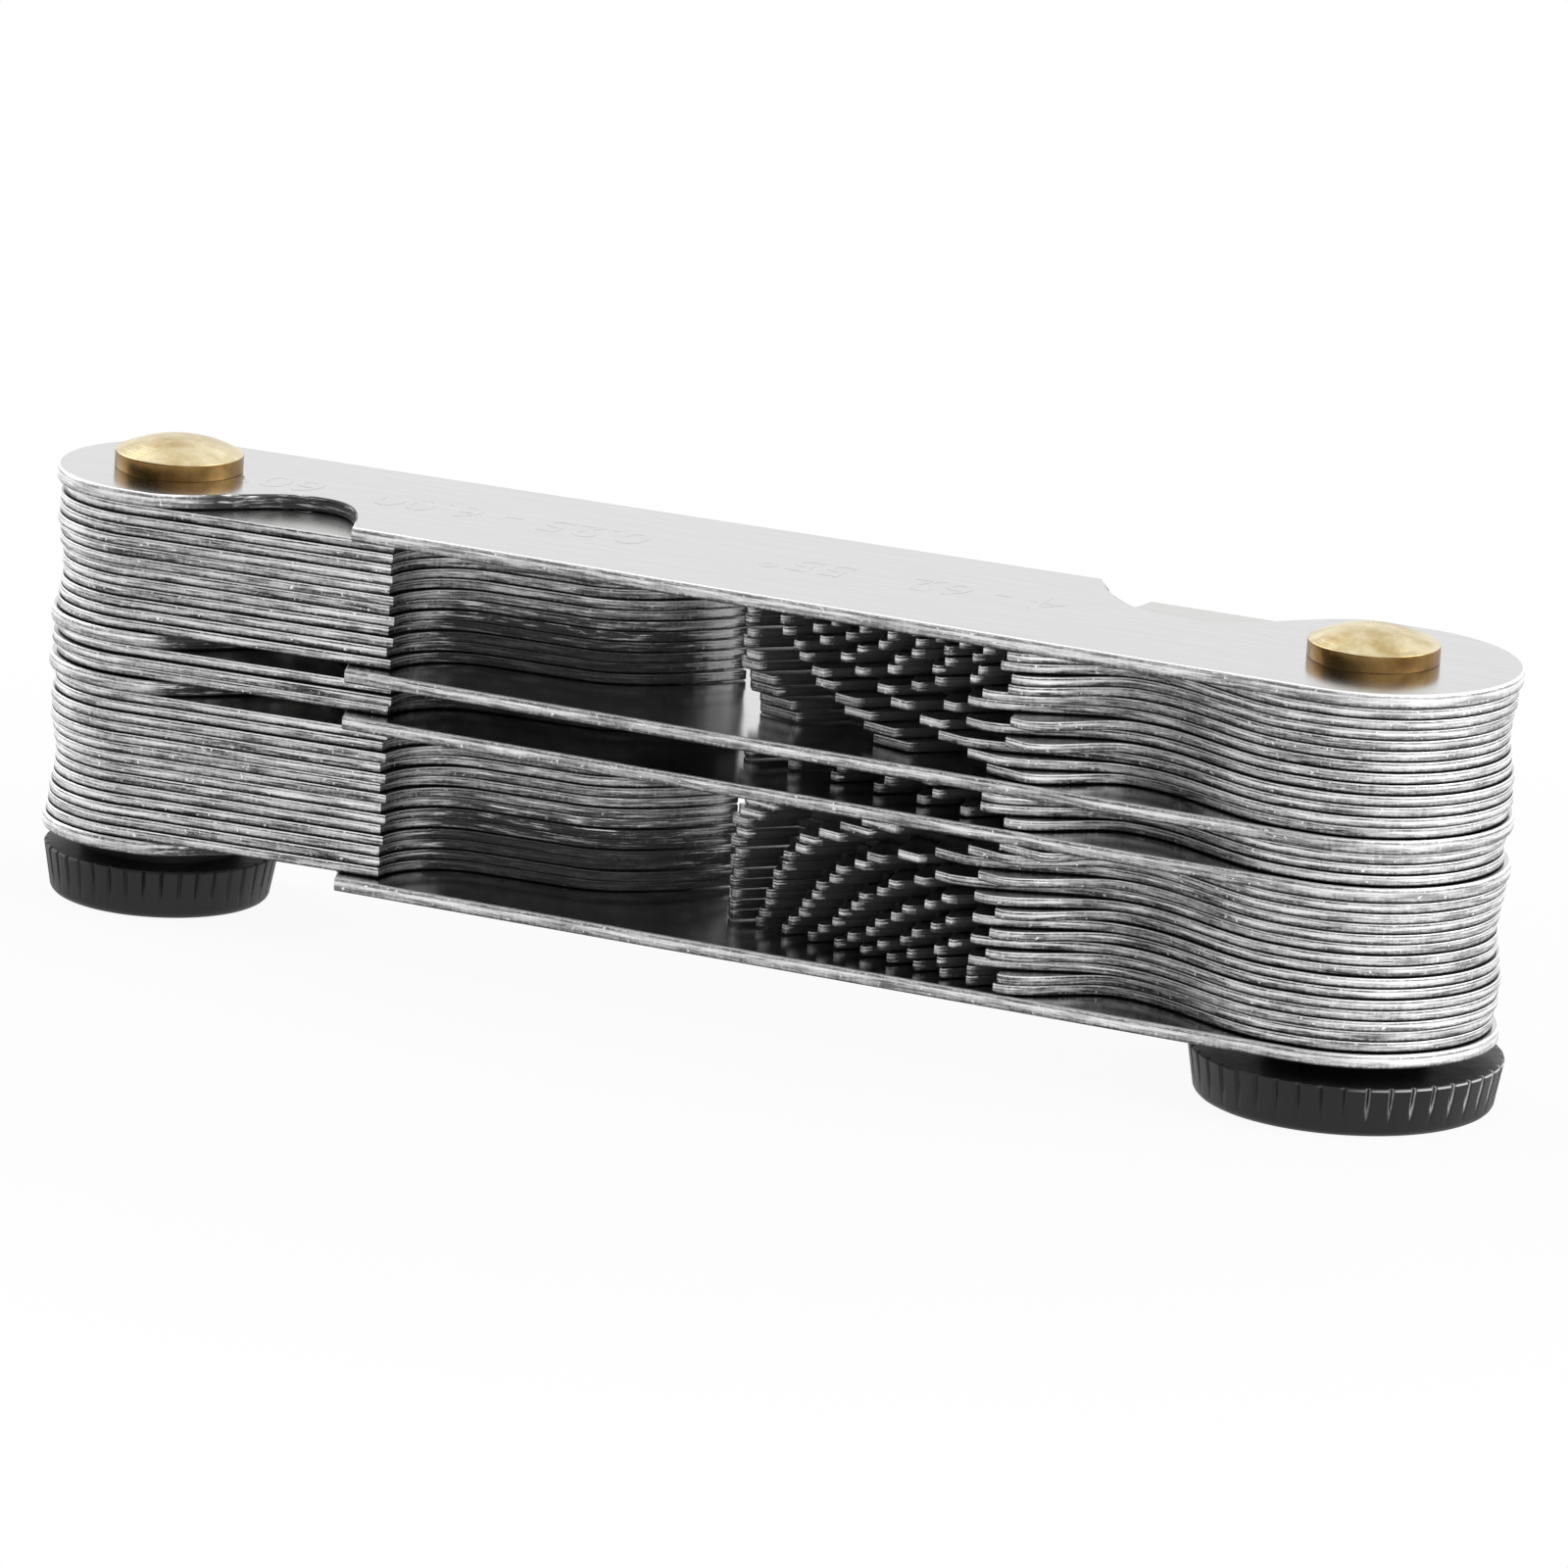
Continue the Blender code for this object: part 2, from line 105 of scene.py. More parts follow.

# Painted highlights on the round ends and the leaf tips, as painted shade below zero
END_HIGHLIGHT = -0.2
TIP_HIGHLIGHT = -0.7
LEAF_HIGHLIGHT_RAMP = 1.5
PLATE_HIGHLIGHT_RAMP = 4.0

# Uneven brightness from sheet to sheet
LEAF_TONE_SPREAD = 0.12
PLATE_TONE_SPREAD = 0.1

# Grain of the metal, as noise scales for each metre, along X, Y and Z where there are three
EDGE_STREAKS = (520, 520, 9000)
EDGE_PATCHES = (240, 240, 900)
EDGE_TICKS = (6500, 6500, 2600)
FACE_LINES = (300, 7000, 300)
EDGE_GRIT = 5200.0
FIGURE_GRAIN = 6000.0
BRASS_CLOUD = 420.0
OXIDE_MOTTLE = 700.0

# Rings on the brass, as a noise scale for each millimetre of radius
BRASS_RINGS = 14.0

# Sheared edge, as shares of the sheet's thickness from its underside: the line between torn and
# burnished, the painted highlight on the upper lip, the painted shade line below it and painted
# shade at the foot
TEAR_LINE = (0.3, 0.75)
TEAR_SOFTNESS = 0.12
LIP_HIGHLIGHT = (0.94, 1.0)
SHADE_LINE_MIDDLE = 0.8
SHADE_LINE_HALF_WIDTH = 0.09
FOOT_SHADE_RANGE = (0.17, 0.33)

# What each mark adds to the edge's brightness, or how much of it each painted shade covers
TICKS_ON_STREAKS = 0.15
TICKS_ON_RISE = 0.18
BAND_LIGHT = 0.55
SHADE_LINE_DEPTH = -0.6
SHADE_PATCH_COVER = 0.94
FLANK_SHADE_COVER = 0.97
FOOT_SHADE_COVER = 0.9
LINE_CONTRAST = 0.2
SHADE_FILM_METALLIC = 0.15

# Where a mark sets in and where it is full: noise, painted shade, or how squarely a face lies flat
STREAK_RANGE = (0.5, 0.64)
PATCH_RANGE = (0.3, 0.7)
GRIT_RANGE = (0.62, 0.72)
SHADE_GAP_RANGE = (0.54, 0.6)
FLANK_SHADE_RANGE = (1.0, 1.4)
FLAT_FACE = (0.95, 0.99)

# Depth of the grain, in millimetres
EDGE_RELIEF = 0.03
BRASS_RELIEF = 0.02
OXIDE_RELIEF = 0.015

# Colours, darker or duller one first
# The dark film is painted shade, laid on the edges in the hollows and at their foot
PAINTED_SHADE_FILM = "#262627"
BRASS_DOME = ("#b39c66", "#eadfbd")
# The rim colours are painted shade: darker and browner for the rim that faces sideways
SHADED_BRASS_RIM = ("#6a4f2a", "#a08050")
OXIDE = ("#131314", "#222224")
# Painted highlight on the flute lips and rib tops of the right nut
OXIDE_HIGHLIGHT = "#c8c8c9"
PAPER = "#f2f2f2"
WHITE = (1.0, 1.0, 1.0, 1.0)

# Screws and nuts
HEAD_RADIUS = 2.69
SHANK_RADIUS = 1.55
SHANK_END_RECESS = 0.3
HEAD_CLEARANCE = 0.005
HEAD_DOME_HEIGHT = 0.64
HEAD_EDGE_ROUND = 0.08
HEAD_SEAT_ROUND = 0.02
SHANK_END_CHAMFER = 0.25
NUT_RIM_HEIGHT = 2.11
NUT_TAPER = 0.29
NUT_EDGE_ROUND = 0.38
NUT_TOP_EDGE = 0.08
COLLAR_RADIUS = 3.41
FLUTE_DEPTH = 0.12
FLUTE_WIDTH_SHARE = 0.3
NUT_SIDE_STEPS = (0.33, 0.67, 1.0)

# Where the right nut takes its painted highlight, from dark to bright along X
NUT_HIGHLIGHT_FROM = 28.4
NUT_HIGHLIGHT_TO = 31.0

# Numbers etched on the sheets
ETCH_PROUD = 0.004
LEAF_NUMBER_SIZE = 2.2
LEAF_NUMBER_PLACE = (3.2, -1.7)
COVER_NUMBER_SIZE = 2.9
COVER_NUMBER_RISE = 1.2
COVER_NUMBERS = ((-6.0, "0.25 - 6.00   60°"), (12.5, "4 - 62   55°"))

# Facets
END_SEGMENTS = 40
NOTCH_SEGMENTS = 28
CURVE_SEGMENTS = 12
BORE_SEGMENTS = 32
SCREW_SEGMENTS = 96
DOME_SEGMENTS = 14
NUT_SEGMENTS = 504
ROUND_SEGMENTS = 5
EDGE_ROUND_SEGMENTS = 2
FIGURE_SEGMENTS = 3
WELD_DISTANCE = 0.001

# Camera, from the photograph: turned and tilted about the middle of the top cover
CAMERA_YAW = 23.435
CAMERA_PITCH = -14.32
CAMERA_ROLL = 3.333
CAMERA_DISTANCE = 537.63
CAMERA_SIDESTEP = 0.794
CAMERA_DROP = 9.135
CAMERA_FOCAL_PIXELS = 13406.6
IMAGE_SIDE = 1600
SENSOR_WIDTH = 36.0

# Studio: a floor, a room with one dim side, and two lamp panels, in metres and watts
FLOOR_SIZE = 6.0
FLOOR_WHITENESS = 0.93
SHADOW_FADE = (0.035, 0.07)
DARK_SIDE = -126.0
ROOM_FADE = (0.4, 0.97)
ROOM_BRIGHT = 1.2
ROOM_DIM = 0.03
AMBIENT = 0.5
PANEL_SIZE = 0.5
PANEL_AIM_HEIGHT = 0.015
PANELS = (("right_panel", (0.55, 0.1, 0.45), 2.2), ("left_panel", (-0.6, 0.1, 0.4), 1.6))


class End:
    """One end of the gauge: which way its leaves point, and its own widths and lengths."""

    def __init__(self, name, side, radius, nut_radius, flutes, leaf_length, heel_length,
                 tip_height, rest_angle, notch_corner, notch_bottom, notch_floor, notch_outlet):
        self.name = name
        self.side = side
        self.radius = radius
        self.nut_radius = nut_radius
        self.flutes = flutes
        self.leaf_length = leaf_length
        self.heel_length = heel_length
        self.tip_height = tip_height
        self.rest_angle = rest_angle
        self.notch_corner = notch_corner
        self.notch_bottom = notch_bottom
        self.notch_floor = notch_floor
        self.notch_outlet = notch_outlet
        low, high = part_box(f"{name}_screw")
        self.pivot_x = (low.x + high.x) / 2 / MM


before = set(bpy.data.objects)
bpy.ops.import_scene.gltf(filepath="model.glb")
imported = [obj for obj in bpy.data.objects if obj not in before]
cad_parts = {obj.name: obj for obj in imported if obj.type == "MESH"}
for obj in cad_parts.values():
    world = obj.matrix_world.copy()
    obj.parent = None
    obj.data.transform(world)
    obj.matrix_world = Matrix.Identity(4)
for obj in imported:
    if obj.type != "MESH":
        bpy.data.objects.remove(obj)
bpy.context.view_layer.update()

LEFT = End("left", -1, radius=5.05, nut_radius=4.93, flutes=40, leaf_length=25.1,
           heel_length=12.1, tip_height=2.8, rest_angle=2.2, notch_corner=10.6,
           notch_bottom=7.2, notch_floor=1.28, notch_outlet=0.8)
RIGHT = End("right", 1, radius=6.11, nut_radius=6.43, flutes=42, leaf_length=26.9,
            heel_length=12.1, tip_height=1.7, rest_angle=0.0, notch_corner=14.2,
            notch_bottom=8.6, notch_floor=1.54, notch_outlet=2.0)
PIVOT_DISTANCE = RIGHT.pivot_x - LEFT.pivot_x


def colour(code):
    """An sRGB hex code as the linear colour that a shader takes."""
    channels = [int(code[place:place + 2], 16) / 255 for place in (1, 3, 5)]
    linear = [c / 12.92 if c <= 0.04045 else ((c + 0.055) / 1.055) ** 2.4 for c in channels]
    return (*linear, 1.0)


def add(tree, kind, inputs=None, **settings):
    """Add a node to a tree, set its options, and fill or link its sockets by name or number."""
    node = tree.nodes.new(kind)
    for name, value in settings.items():
        setattr(node, name, value)
    for name, value in (inputs or {}).items():
        if isinstance(value, bpy.types.NodeSocket):
            tree.links.new(value, node.inputs[name])
        else:
            node.inputs[name].default_value = value
    return node


def maths(tree, operation, *values, **settings):
    """The result of a maths node on numbers or sockets."""
    return add(tree, "ShaderNodeMath", dict(enumerate(values)), operation=operation,
               **settings).outputs[0]


def remap(tree, value, start, stop, low=0.0, high=1.0, **settings):
    """A value carried from one range to another and held at its ends."""
    return add(tree, "ShaderNodeMapRange", {"Value": value, "From Min": start, "From Max": stop,
                                            "To Min": low, "To Max": high},
               **settings).outputs[0]


def mix(tree, share, low, high, **settings):
    """A blend of two numbers."""
    return add(tree, "ShaderNodeMix", {"Factor": share, "A": low, "B": high},
               **settings).outputs["Result"]


def tint(tree, share, low, high, **settings):
    """A blend of two colours, each a hex code or a socket."""
    low, high = (colour(end) if isinstance(end, str) else end for end in (low, high))
    return mix(tree, share, low, high, data_type="RGBA", **settings)


def noise(tree, where, scale, **more):
    """Noise at a place, stretched along the axes if its scale has three numbers."""
    if isinstance(scale, tuple):
        where = add(tree, "ShaderNodeMapping", {"Vector": where, "Scale": scale}).outputs[0]
        scale = 1.0
    return add(tree, "ShaderNodeTexNoise", {"Vector": where, "Scale": scale, **more}).outputs[0]


def stored(tree, name):
    """A share that the mesh keeps on its points under this name."""
    return add(tree, "ShaderNodeAttribute", attribute_name=name).outputs["Fac"]


def relief(tree, height, distance):
    """Fine grain as a bump, with its depth in metres."""
    return add(tree, "ShaderNodeBump", {"Height": height, "Distance": distance}).outputs[0]


def new_material(name):
    """A material, its node tree and its surface shader."""
    material = bpy.data.materials.new(name)
    material.use_nodes = True
    tree = material.node_tree
    return material, tree, tree.nodes["Principled BSDF"]


def feed(tree, shader, sockets):
    """Link sockets to the shader's inputs by name."""
    for name, socket in sockets.items():
        tree.links.new(socket, shader.inputs[name])


def group(name, inputs, output):
    """A geometry node group with these sockets, and the inputs that it is given."""
    tree = bpy.data.node_groups.new(name, "GeometryNodeTree")
    for socket, kind in inputs:
        tree.interface.new_socket(socket, in_out="INPUT", socket_type=kind)
    tree.interface.new_socket(output, in_out="OUTPUT", socket_type="NodeSocketGeometry")
    return tree, add(tree, "NodeGroupInput").outputs


def hand_out(tree, geometry, finish, output):
    """Realize what a group has made, give it its finish and hand it out."""
    real = add(tree, "GeometryNodeRealizeInstances", {"Geometry": geometry})
    finished_piece = add(tree, "GeometryNodeSetMaterial", {"Geometry": real.outputs[0],
                                                           "Material": finish})
    add(tree, "NodeGroupOutput", {output: finished_piece.outputs[0]})


def placed(name, data):
    """A new object in the scene."""
    thing = bpy.data.objects.new(name, data)
    bpy.context.scene.collection.objects.link(thing)
    return thing


def clamped(value):
    return min(max(value, 0.0), 1.0)


def box_mm(node):
    low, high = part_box(node)
    return low / MM, high / MM


# Outlines of the sheets


def scatter(index, kind):
    """A fixed, uneven value from -1 to 1 for one leaf, as hand-closed leaves lie.

    The factors have no meaning but to keep the values from repeating.
    """
    return math.sin(index * 2.399 + kind * 1.7) * math.cos(index * 0.731 + kind * 4.1)


def drift(index):
    """A slow sway from -1 to 1 up the stack, with a little scatter: leaves lie in groups."""
    return 0.65 * math.sin(index * 0.31 + 1.9 * (index % 2)) + 0.35 * scatter(index, 1)


def arc(centre, radius, start, stop, segments):
    points = []
    for step in range(segments + 1):
        angle = math.radians(start + (stop - start) * step / segments)
        points.append((centre[0] + radius * math.cos(angle), centre[1] + radius * math.sin(angle)))
    return points


def blend(start, stop, segments):
    """An S-shaped run between two points, level at both ends, without its first point."""
    points = []
    for step in range(1, segments + 1):
        share = step / segments
        ease = (1 - math.cos(math.pi * share)) / 2
        points.append((start[0] + (stop[0] - start[0]) * share,
                       start[1] + (stop[1] - start[1]) * ease))
    return points


def hollow_corner(start, stop, segments):
    """A quarter of an ellipse that leaves start across the leaf and meets stop along it."""
    points = []
    for step in range(1, segments + 1):
        angle = math.pi / 2 * step / segments
        points.append((stop[0] - (stop[0] - start[0]) * math.cos(angle),
                       start[1] + (stop[1] - start[1]) * math.sin(angle)))
    return points


def sweep(start, stop, power, segments):
    """A run that leaves start along the sheet and grows ever steeper towards stop."""
    points = []
    for step in range(1, segments + 1):
        share = step / segments
        points.append((start[0] + (stop[0] - start[0]) * share,
                       start[1] + (stop[1] - start[1]) * share ** power))
    return points


class Leaf:
    """One leaf: its thread, its layer height and the outline of its blank."""

    def __init__(self, name, end, value, is_metric, index, bottom, depth_share, tip_share,
                 node=None):
        self.name = name
        self.tip_share = tip_share
        # Painted shade: the deeper rows of a bank take more of the dark film, for the shade deeper
        # in the stack
        deep = clamped((depth_share - DEEP_ROWS_FROM) / DEEP_ROWS_RAMP)
        self.painted_shade_share = TOP_ROW_SHADE + (DEEP_ROW_SHADE - TOP_ROW_SHADE) * deep
        self.node = node
        self.end = end
        self.pitch = value if is_metric else INCH / value
        self.flank_angle = METRIC_ANGLE if is_metric else INCH_ANGLE
        self.number = f"{value:.2f}" if is_metric else f"{value:g}"
        self.index = index
        self.bottom = bottom
        self.length = end.leaf_length + LENGTH_SPREAD * scatter(index, 2)
        self.length -= COARSE_TIP_CUT * max(0.0, self.pitch - TIP_CUT_FROM)
        self.tip = (self.length - TIP_CORNER, end.tip_height)
        shoulder = (self.tip[0] - TOOTHED_LENGTH, end.radius - SHOULDER_INSET)
        reach = math.dist(self.tip, shoulder)
        self.along = ((shoulder[0] - self.tip[0]) / reach, (shoulder[1] - self.tip[1]) / reach)
        self.teeth = int(reach / self.pitch)
        slope = math.tan(math.radians(self.flank_angle / 2))
        self.flank_run = min(self.pitch / 2 * (1 - TOOTH_FLAT_SHARE), TOOTH_DEPTH_LIMIT * slope)
        self.flat = self.pitch / 2 - self.flank_run
        self.depth = self.flank_run / slope

    def tooth(self):
        """One tooth with its row along -X, from the front of its crest to the next crest."""
        root = self.flat + self.flank_run
        return [(0.0, 0.0), (-self.flat, 0.0), (-root, -self.depth),
                (-root - self.flat, -self.depth), (-self.pitch, 0.0)]

    def on_row(self, distance):
        """A point of the toothed edge, at a distance from the first crest."""
        return (self.tip[0] + self.along[0] * distance, self.tip[1] + self.along[1] * distance)

    def shade_and_highlight(self, u, v):
        """How much painted shade an edge keeps: none outside, much on neck and flanks.

        Below zero it is a painted highlight, as on the round end and the bare tips.
        """
        below = (v - self.tip[1]) * self.along[0] - (u - self.tip[0]) * self.along[1]
        if below <= self.depth + 4 * LEAF_EDGE_ROUND:
            on_teeth = u > self.on_row(self.teeth * self.pitch + self.flat)[0]
            return max((below - LEAF_EDGE_ROUND) * FLANK_SHADE_RATE, 0.0) if on_teeth else 0.0
        if v > 0.0 and SIDE_STRAIGHT < u < self.end.heel_length:
            hollow = (self.end.radius - v - 2 * LEAF_END_INSET) / WAIST_DEPTH
            return WAIST_SHADE * clamped(hollow)
        if u < 0.0:
            return END_HIGHLIGHT * min(-u / self.end.radius * LEAF_HIGHLIGHT_RAMP, 1.0)
        bare = 1 - clamped((self.length - HIGHLIGHTED_TIP - u) / HIGHLIGHTED_TIP)
        bare *= 1 - self.tip_share
        from_heel = (u - self.end.heel_length) / NECK_RAMP
        film = self.painted_shade_share * clamped(from_heel)
        return film * (1 - bare) + TIP_HIGHLIGHT * bare

    def blank(self):
        """The open outline from the last tooth, round the screw end and on to the first tooth."""
        radius = self.end.radius - LEAF_END_INSET + END_SPREAD * drift(self.index)
        heel = self.end.heel_length + HEEL_SPREAD * scatter(self.index, 4)
        neck_start = heel + HEEL_FILLET_LENGTH
        neck_end = self.length - TIP_SWEEP_LENGTH
        waist = (WAIST_PLACE, radius - WAIST_DEPTH)
        points = [self.on_row(self.teeth * self.pitch),
                  self.on_row(self.teeth * self.pitch + self.flat)]
        points += blend(points[-1], waist, CURVE_SEGMENTS)
        points += blend(waist, (SIDE_STRAIGHT, radius), CURVE_SEGMENTS)
        points += arc((0.0, 0.0), radius, 90, 270, END_SEGMENTS)
        points.append((heel, -radius))
        points += hollow_corner((heel, -radius), (neck_start, -NECK_OFFSET), CURVE_SEGMENTS)
        points.append((neck_end, -NECK_OFFSET))
        points += sweep((neck_end, -NECK_OFFSET), (self.length, self.end.tip_height - TIP_WIDTH),
                        TIP_SWEEP_POWER, CURVE_SEGMENTS)
        points.append(self.tip)
        return points

    def place(self):
        """From the leaf's own plane in millimetres to its place on the screw in metres."""
        turn = math.radians(self.end.rest_angle + ANGLE_SPREAD * scatter(self.index, 3))
        if self.end is RIGHT:
            turn += math.pi
        move = Matrix.Translation((self.end.pivot_x * MM, 0.0, self.bottom * MM))
        return move @ Matrix.Rotation(turn, 4, "Z") @ Matrix.Scale(MM, 4)


def notch(end, sign):
    """A finger notch on one edge: hollow on its inner side, easing into the round end outside."""
    lean = (RIGHT.radius - LEFT.radius) / PIVOT_DISTANCE
    corner = (end.notch_corner, end.radius - end.side * lean * end.notch_corner)
    bottom = (end.notch_bottom, end.notch_floor)
    inner = sweep(bottom, corner, NOTCH_POWER, NOTCH_SEGMENTS)
    outer = blend(bottom, (end.notch_outlet, end.radius), NOTCH_SEGMENTS)
    run = inner[::-1] + [bottom] + outer
    return [(end.pivot_x - end.side * u, sign * v) for u, v in reversed(run)]


def notch_shade_and_highlight(x, y, start):
    """How much painted shade a plate's edge keeps: none outside, more down a notch from start;
    past the screws, below zero, a painted highlight.
    """
    share = (x - LEFT.pivot_x) / PIVOT_DISTANCE
    if not 0.0 < share < 1.0:
        past = (abs(share - 0.5) - 0.5) * PIVOT_DISTANCE
        return END_HIGHLIGHT * min(past / PLATE_HIGHLIGHT_RAMP, 1.0)
    outer = LEFT.radius + (RIGHT.radius - LEFT.radius) * share
    return clamped((outer - abs(y) - start) / (NOTCH_RAMP * start))


def plate_outline():
    """A case plate: two round ends, straight tapered edges and a finger notch for each end."""
    lean = math.degrees(math.asin((RIGHT.radius - LEFT.radius) / PIVOT_DISTANCE))
    points = arc((LEFT.pivot_x, 0.0), LEFT.radius, 90 + lean, 270, END_SEGMENTS)
    points += notch(LEFT, -1)
    points += arc((RIGHT.pivot_x, 0.0), RIGHT.radius, -90 - lean, 90, END_SEGMENTS)
    points += notch(RIGHT, 1)
    return points


# Sheets, with their teeth set in by one node tree


def wire(name, loops):
    """A wire object in the plane, from open and closed runs of points."""
    vertices, edges = [], []
    for points, is_closed in loops:
        first = len(vertices)
        vertices += [(x, y, 0.0) for x, y in points]
        edges += [(first + step, first + step + 1) for step in range(len(points) - 1)]
        if is_closed:
            edges.append((len(vertices) - 1, first))
    mesh = bpy.data.meshes.new(name)
    mesh.from_pydata(vertices, edges, [])
    return placed(name, mesh)


def toothed_sheet_tree():
    """Repeat a tooth along the open side of a blank, close the outline and give it thickness."""
    tree, given = group("toothed_sheet", (
        ("Blank", "NodeSocketGeometry"), ("Tooth Form", "NodeSocketObject"),
        ("Teeth", "NodeSocketInt"), ("Tooth Step", "NodeSocketVector"),
        ("First Crest", "NodeSocketVector"), ("Row Turn", "NodeSocketVector"),
        ("Thickness", "NodeSocketFloat"), ("Finish", "NodeSocketMaterial")), "Sheet")
    row = add(tree, "GeometryNodeMeshLine", {"Count": given["Teeth"],
                                             "Start Location": given["First Crest"],
                                             "Offset": given["Tooth Step"]})
    form = add(tree, "GeometryNodeObjectInfo", {"Object": given["Tooth Form"]})
    teeth = add(tree, "GeometryNodeInstanceOnPoints", {"Points": row.outputs[0],
                                                       "Instance": form.outputs["Geometry"],
                                                       "Rotation": given["Row Turn"]})
    loose = add(tree, "GeometryNodeRealizeInstances", {"Geometry": teeth.outputs[0]})
    joined = add(tree, "GeometryNodeJoinGeometry", {"Geometry": given["Blank"]})
    tree.links.new(loose.outputs[0], joined.inputs[0])
    closed = add(tree, "GeometryNodeMergeByDistance", {"Geometry": joined.outputs[0],
                                                       "Distance": WELD_DISTANCE})
    curve = add(tree, "GeometryNodeMeshToCurve", {"Mesh": closed.outputs[0]})
    filled = add(tree, "GeometryNodeFillCurve", {"Curve": curve.outputs[0]}, mode="NGONS")
    under = add(tree, "GeometryNodeFlipFaces", {"Mesh": filled.outputs[0]})
    grown = add(tree, "GeometryNodeExtrudeMesh", {"Mesh": filled.outputs[0],
                                                  "Offset Scale": given["Thickness"],
                                                  "Individual": False}, mode="FACES")
    halves = add(tree, "GeometryNodeJoinGeometry", {"Geometry": under.outputs[0]})
    tree.links.new(grown.outputs[0], halves.inputs[0])
    solid = add(tree, "GeometryNodeMergeByDistance", {"Geometry": halves.outputs[0],
                                                      "Distance": WELD_DISTANCE})
    hand_out(tree, solid.outputs[0], given["Finish"], "Sheet")
    return tree


def grow(guide, tree, values, edge_round):
    """Give a guide its node tree with these inputs, and a rounding on its sharp edges."""
    modifier = guide.modifiers.new(tree.name, "NODES")
    modifier.node_group = tree
    for item in tree.interface.items_tree:
        if item.in_out == "INPUT" and item.name in values:
            modifier[item.identifier] = values[item.name]
    if edge_round:
        bevel = guide.modifiers.new("edge_round", "BEVEL")
        bevel.width = edge_round
        bevel.segments = EDGE_ROUND_SEGMENTS
        bevel.limit_method = "ANGLE"
        bevel.angle_limit = math.radians(EDGE_ROUND_ANGLE)
        bevel.use_clamp_overlap = False


def etched(text, size, place, turn=0.0):
    """Plain figures as a thin closed relief, in millimetres, on the plane of a sheet's face."""
    curve = bpy.data.curves.new(text, "FONT")
    curve.body = text
    curve.size = size
    curve.extrude = ETCH_PROUD / 2
    curve.resolution_u = FIGURE_SEGMENTS
    label = placed(text, curve)
    mesh = bpy.data.meshes.new_from_object(label)
    bpy.data.objects.remove(label)
    mesh.transform(Matrix.Translation((*place, ETCH_PROUD / 2)) @ Matrix.Rotation(turn, 4, "Z"))
    return mesh


def finished(name, mesh, place, body, node=None, labels=(), label_material=None,
             thickness=1.0, tone=0.0, shade_and_highlight=None):
    """Join the labels to a sheet, shade it, put it in place and hang it on its body.

    rise runs from 0 at the sheet's underside to 1 at its upper face, for the sheared edge.
    scale is the share of painted shade on an edge; below zero it is a painted highlight.
    """
    build = bmesh.new()
    build.from_mesh(mesh)
    for label in labels:
        first = len(build.faces)
        build.from_mesh(label)
        build.faces.ensure_lookup_table()
        for face in build.faces[first:]:
            face.material_index = 1
    build.to_mesh(mesh)
    build.free()
    if labels:
        mesh.materials.append(label_material)
    for name_of_share, share in (
            ("rise", lambda co: clamped(co.z / thickness)),
            ("tone", lambda co: tone),
            ("scale", lambda co: shade_and_highlight(co.x, co.y) if shade_and_highlight else 0.0)):
        shares = mesh.attributes.new(name_of_share, "FLOAT", "POINT")
        for vertex in mesh.vertices:
            shares.data[vertex.index].value = share(vertex.co)
    mesh.name = name
    mesh.transform(place)
    mesh.shade_smooth()
    mesh.set_sharp_from_angle(angle=math.radians(SMOOTH_ANGLE))
    piece = placed(name, mesh)
    if node:
        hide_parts(node)
    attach(piece, body)
    return piece


# Turned pieces


def turned(name, profile, segments):
    """A closed half profile of (radius, height), spun about the axis into one closed body."""
    build = bmesh.new()
    rim = [build.verts.new((radius, 0.0, height)) for radius, height in profile]
    edges = [build.edges.new((a, b)) for a, b in zip(rim, rim[1:])]
    if profile[0][0] > 0:
        edges.append(build.edges.new((rim[-1], rim[0])))
    bmesh.ops.spin(build, geom=rim + edges, cent=(0, 0, 0), axis=(0, 0, 1), dvec=(0, 0, 0),
                   angle=math.tau, steps=segments, use_merge=True, use_duplicate=False)
    bmesh.ops.remove_doubles(build, verts=build.verts, dist=WELD_DISTANCE)
    bmesh.ops.recalc_face_normals(build, faces=build.faces)
    mesh = bpy.data.meshes.new(name)
    build.to_mesh(mesh)
    build.free()
    radius = mesh.attributes.new("radius", "FLOAT", "POINT")
    for vertex in mesh.vertices:
        radius.data[vertex.index].value = math.hypot(vertex.co.x, vertex.co.y)
    return mesh


def screw_profile(top):
    """A low dome over a short rim, a plain shank, and a chamfered end inside the nut."""
    rim_top = top - HEAD_DOME_HEIGHT
    seat = box_mm("top_cover")[1].z + HEAD_CLEARANCE
    inner = HEAD_RADIUS - HEAD_EDGE_ROUND
    sphere = (inner ** 2 + HEAD_DOME_HEIGHT ** 2) / (2 * HEAD_DOME_HEIGHT)
    widest = math.asin(inner / sphere)
    profile = []
    for step in range(DOME_SEGMENTS + 1):
        angle = widest * step / DOME_SEGMENTS
        profile.append((sphere * math.sin(angle), top - sphere + sphere * math.cos(angle)))
    profile += arc((inner, rim_top - HEAD_EDGE_ROUND), HEAD_EDGE_ROUND, 70, 0, ROUND_SEGMENTS)
    profile += arc((HEAD_RADIUS - HEAD_SEAT_ROUND, seat + HEAD_SEAT_ROUND), HEAD_SEAT_ROUND,
                   0, -90, ROUND_SEGMENTS)
    foot = SHANK_END_RECESS
    profile += [(SHANK_RADIUS, seat), (SHANK_RADIUS, foot + SHANK_END_CHAMFER),
                (SHANK_RADIUS - SHANK_END_CHAMFER, foot), (0.0, foot)]
    return profile


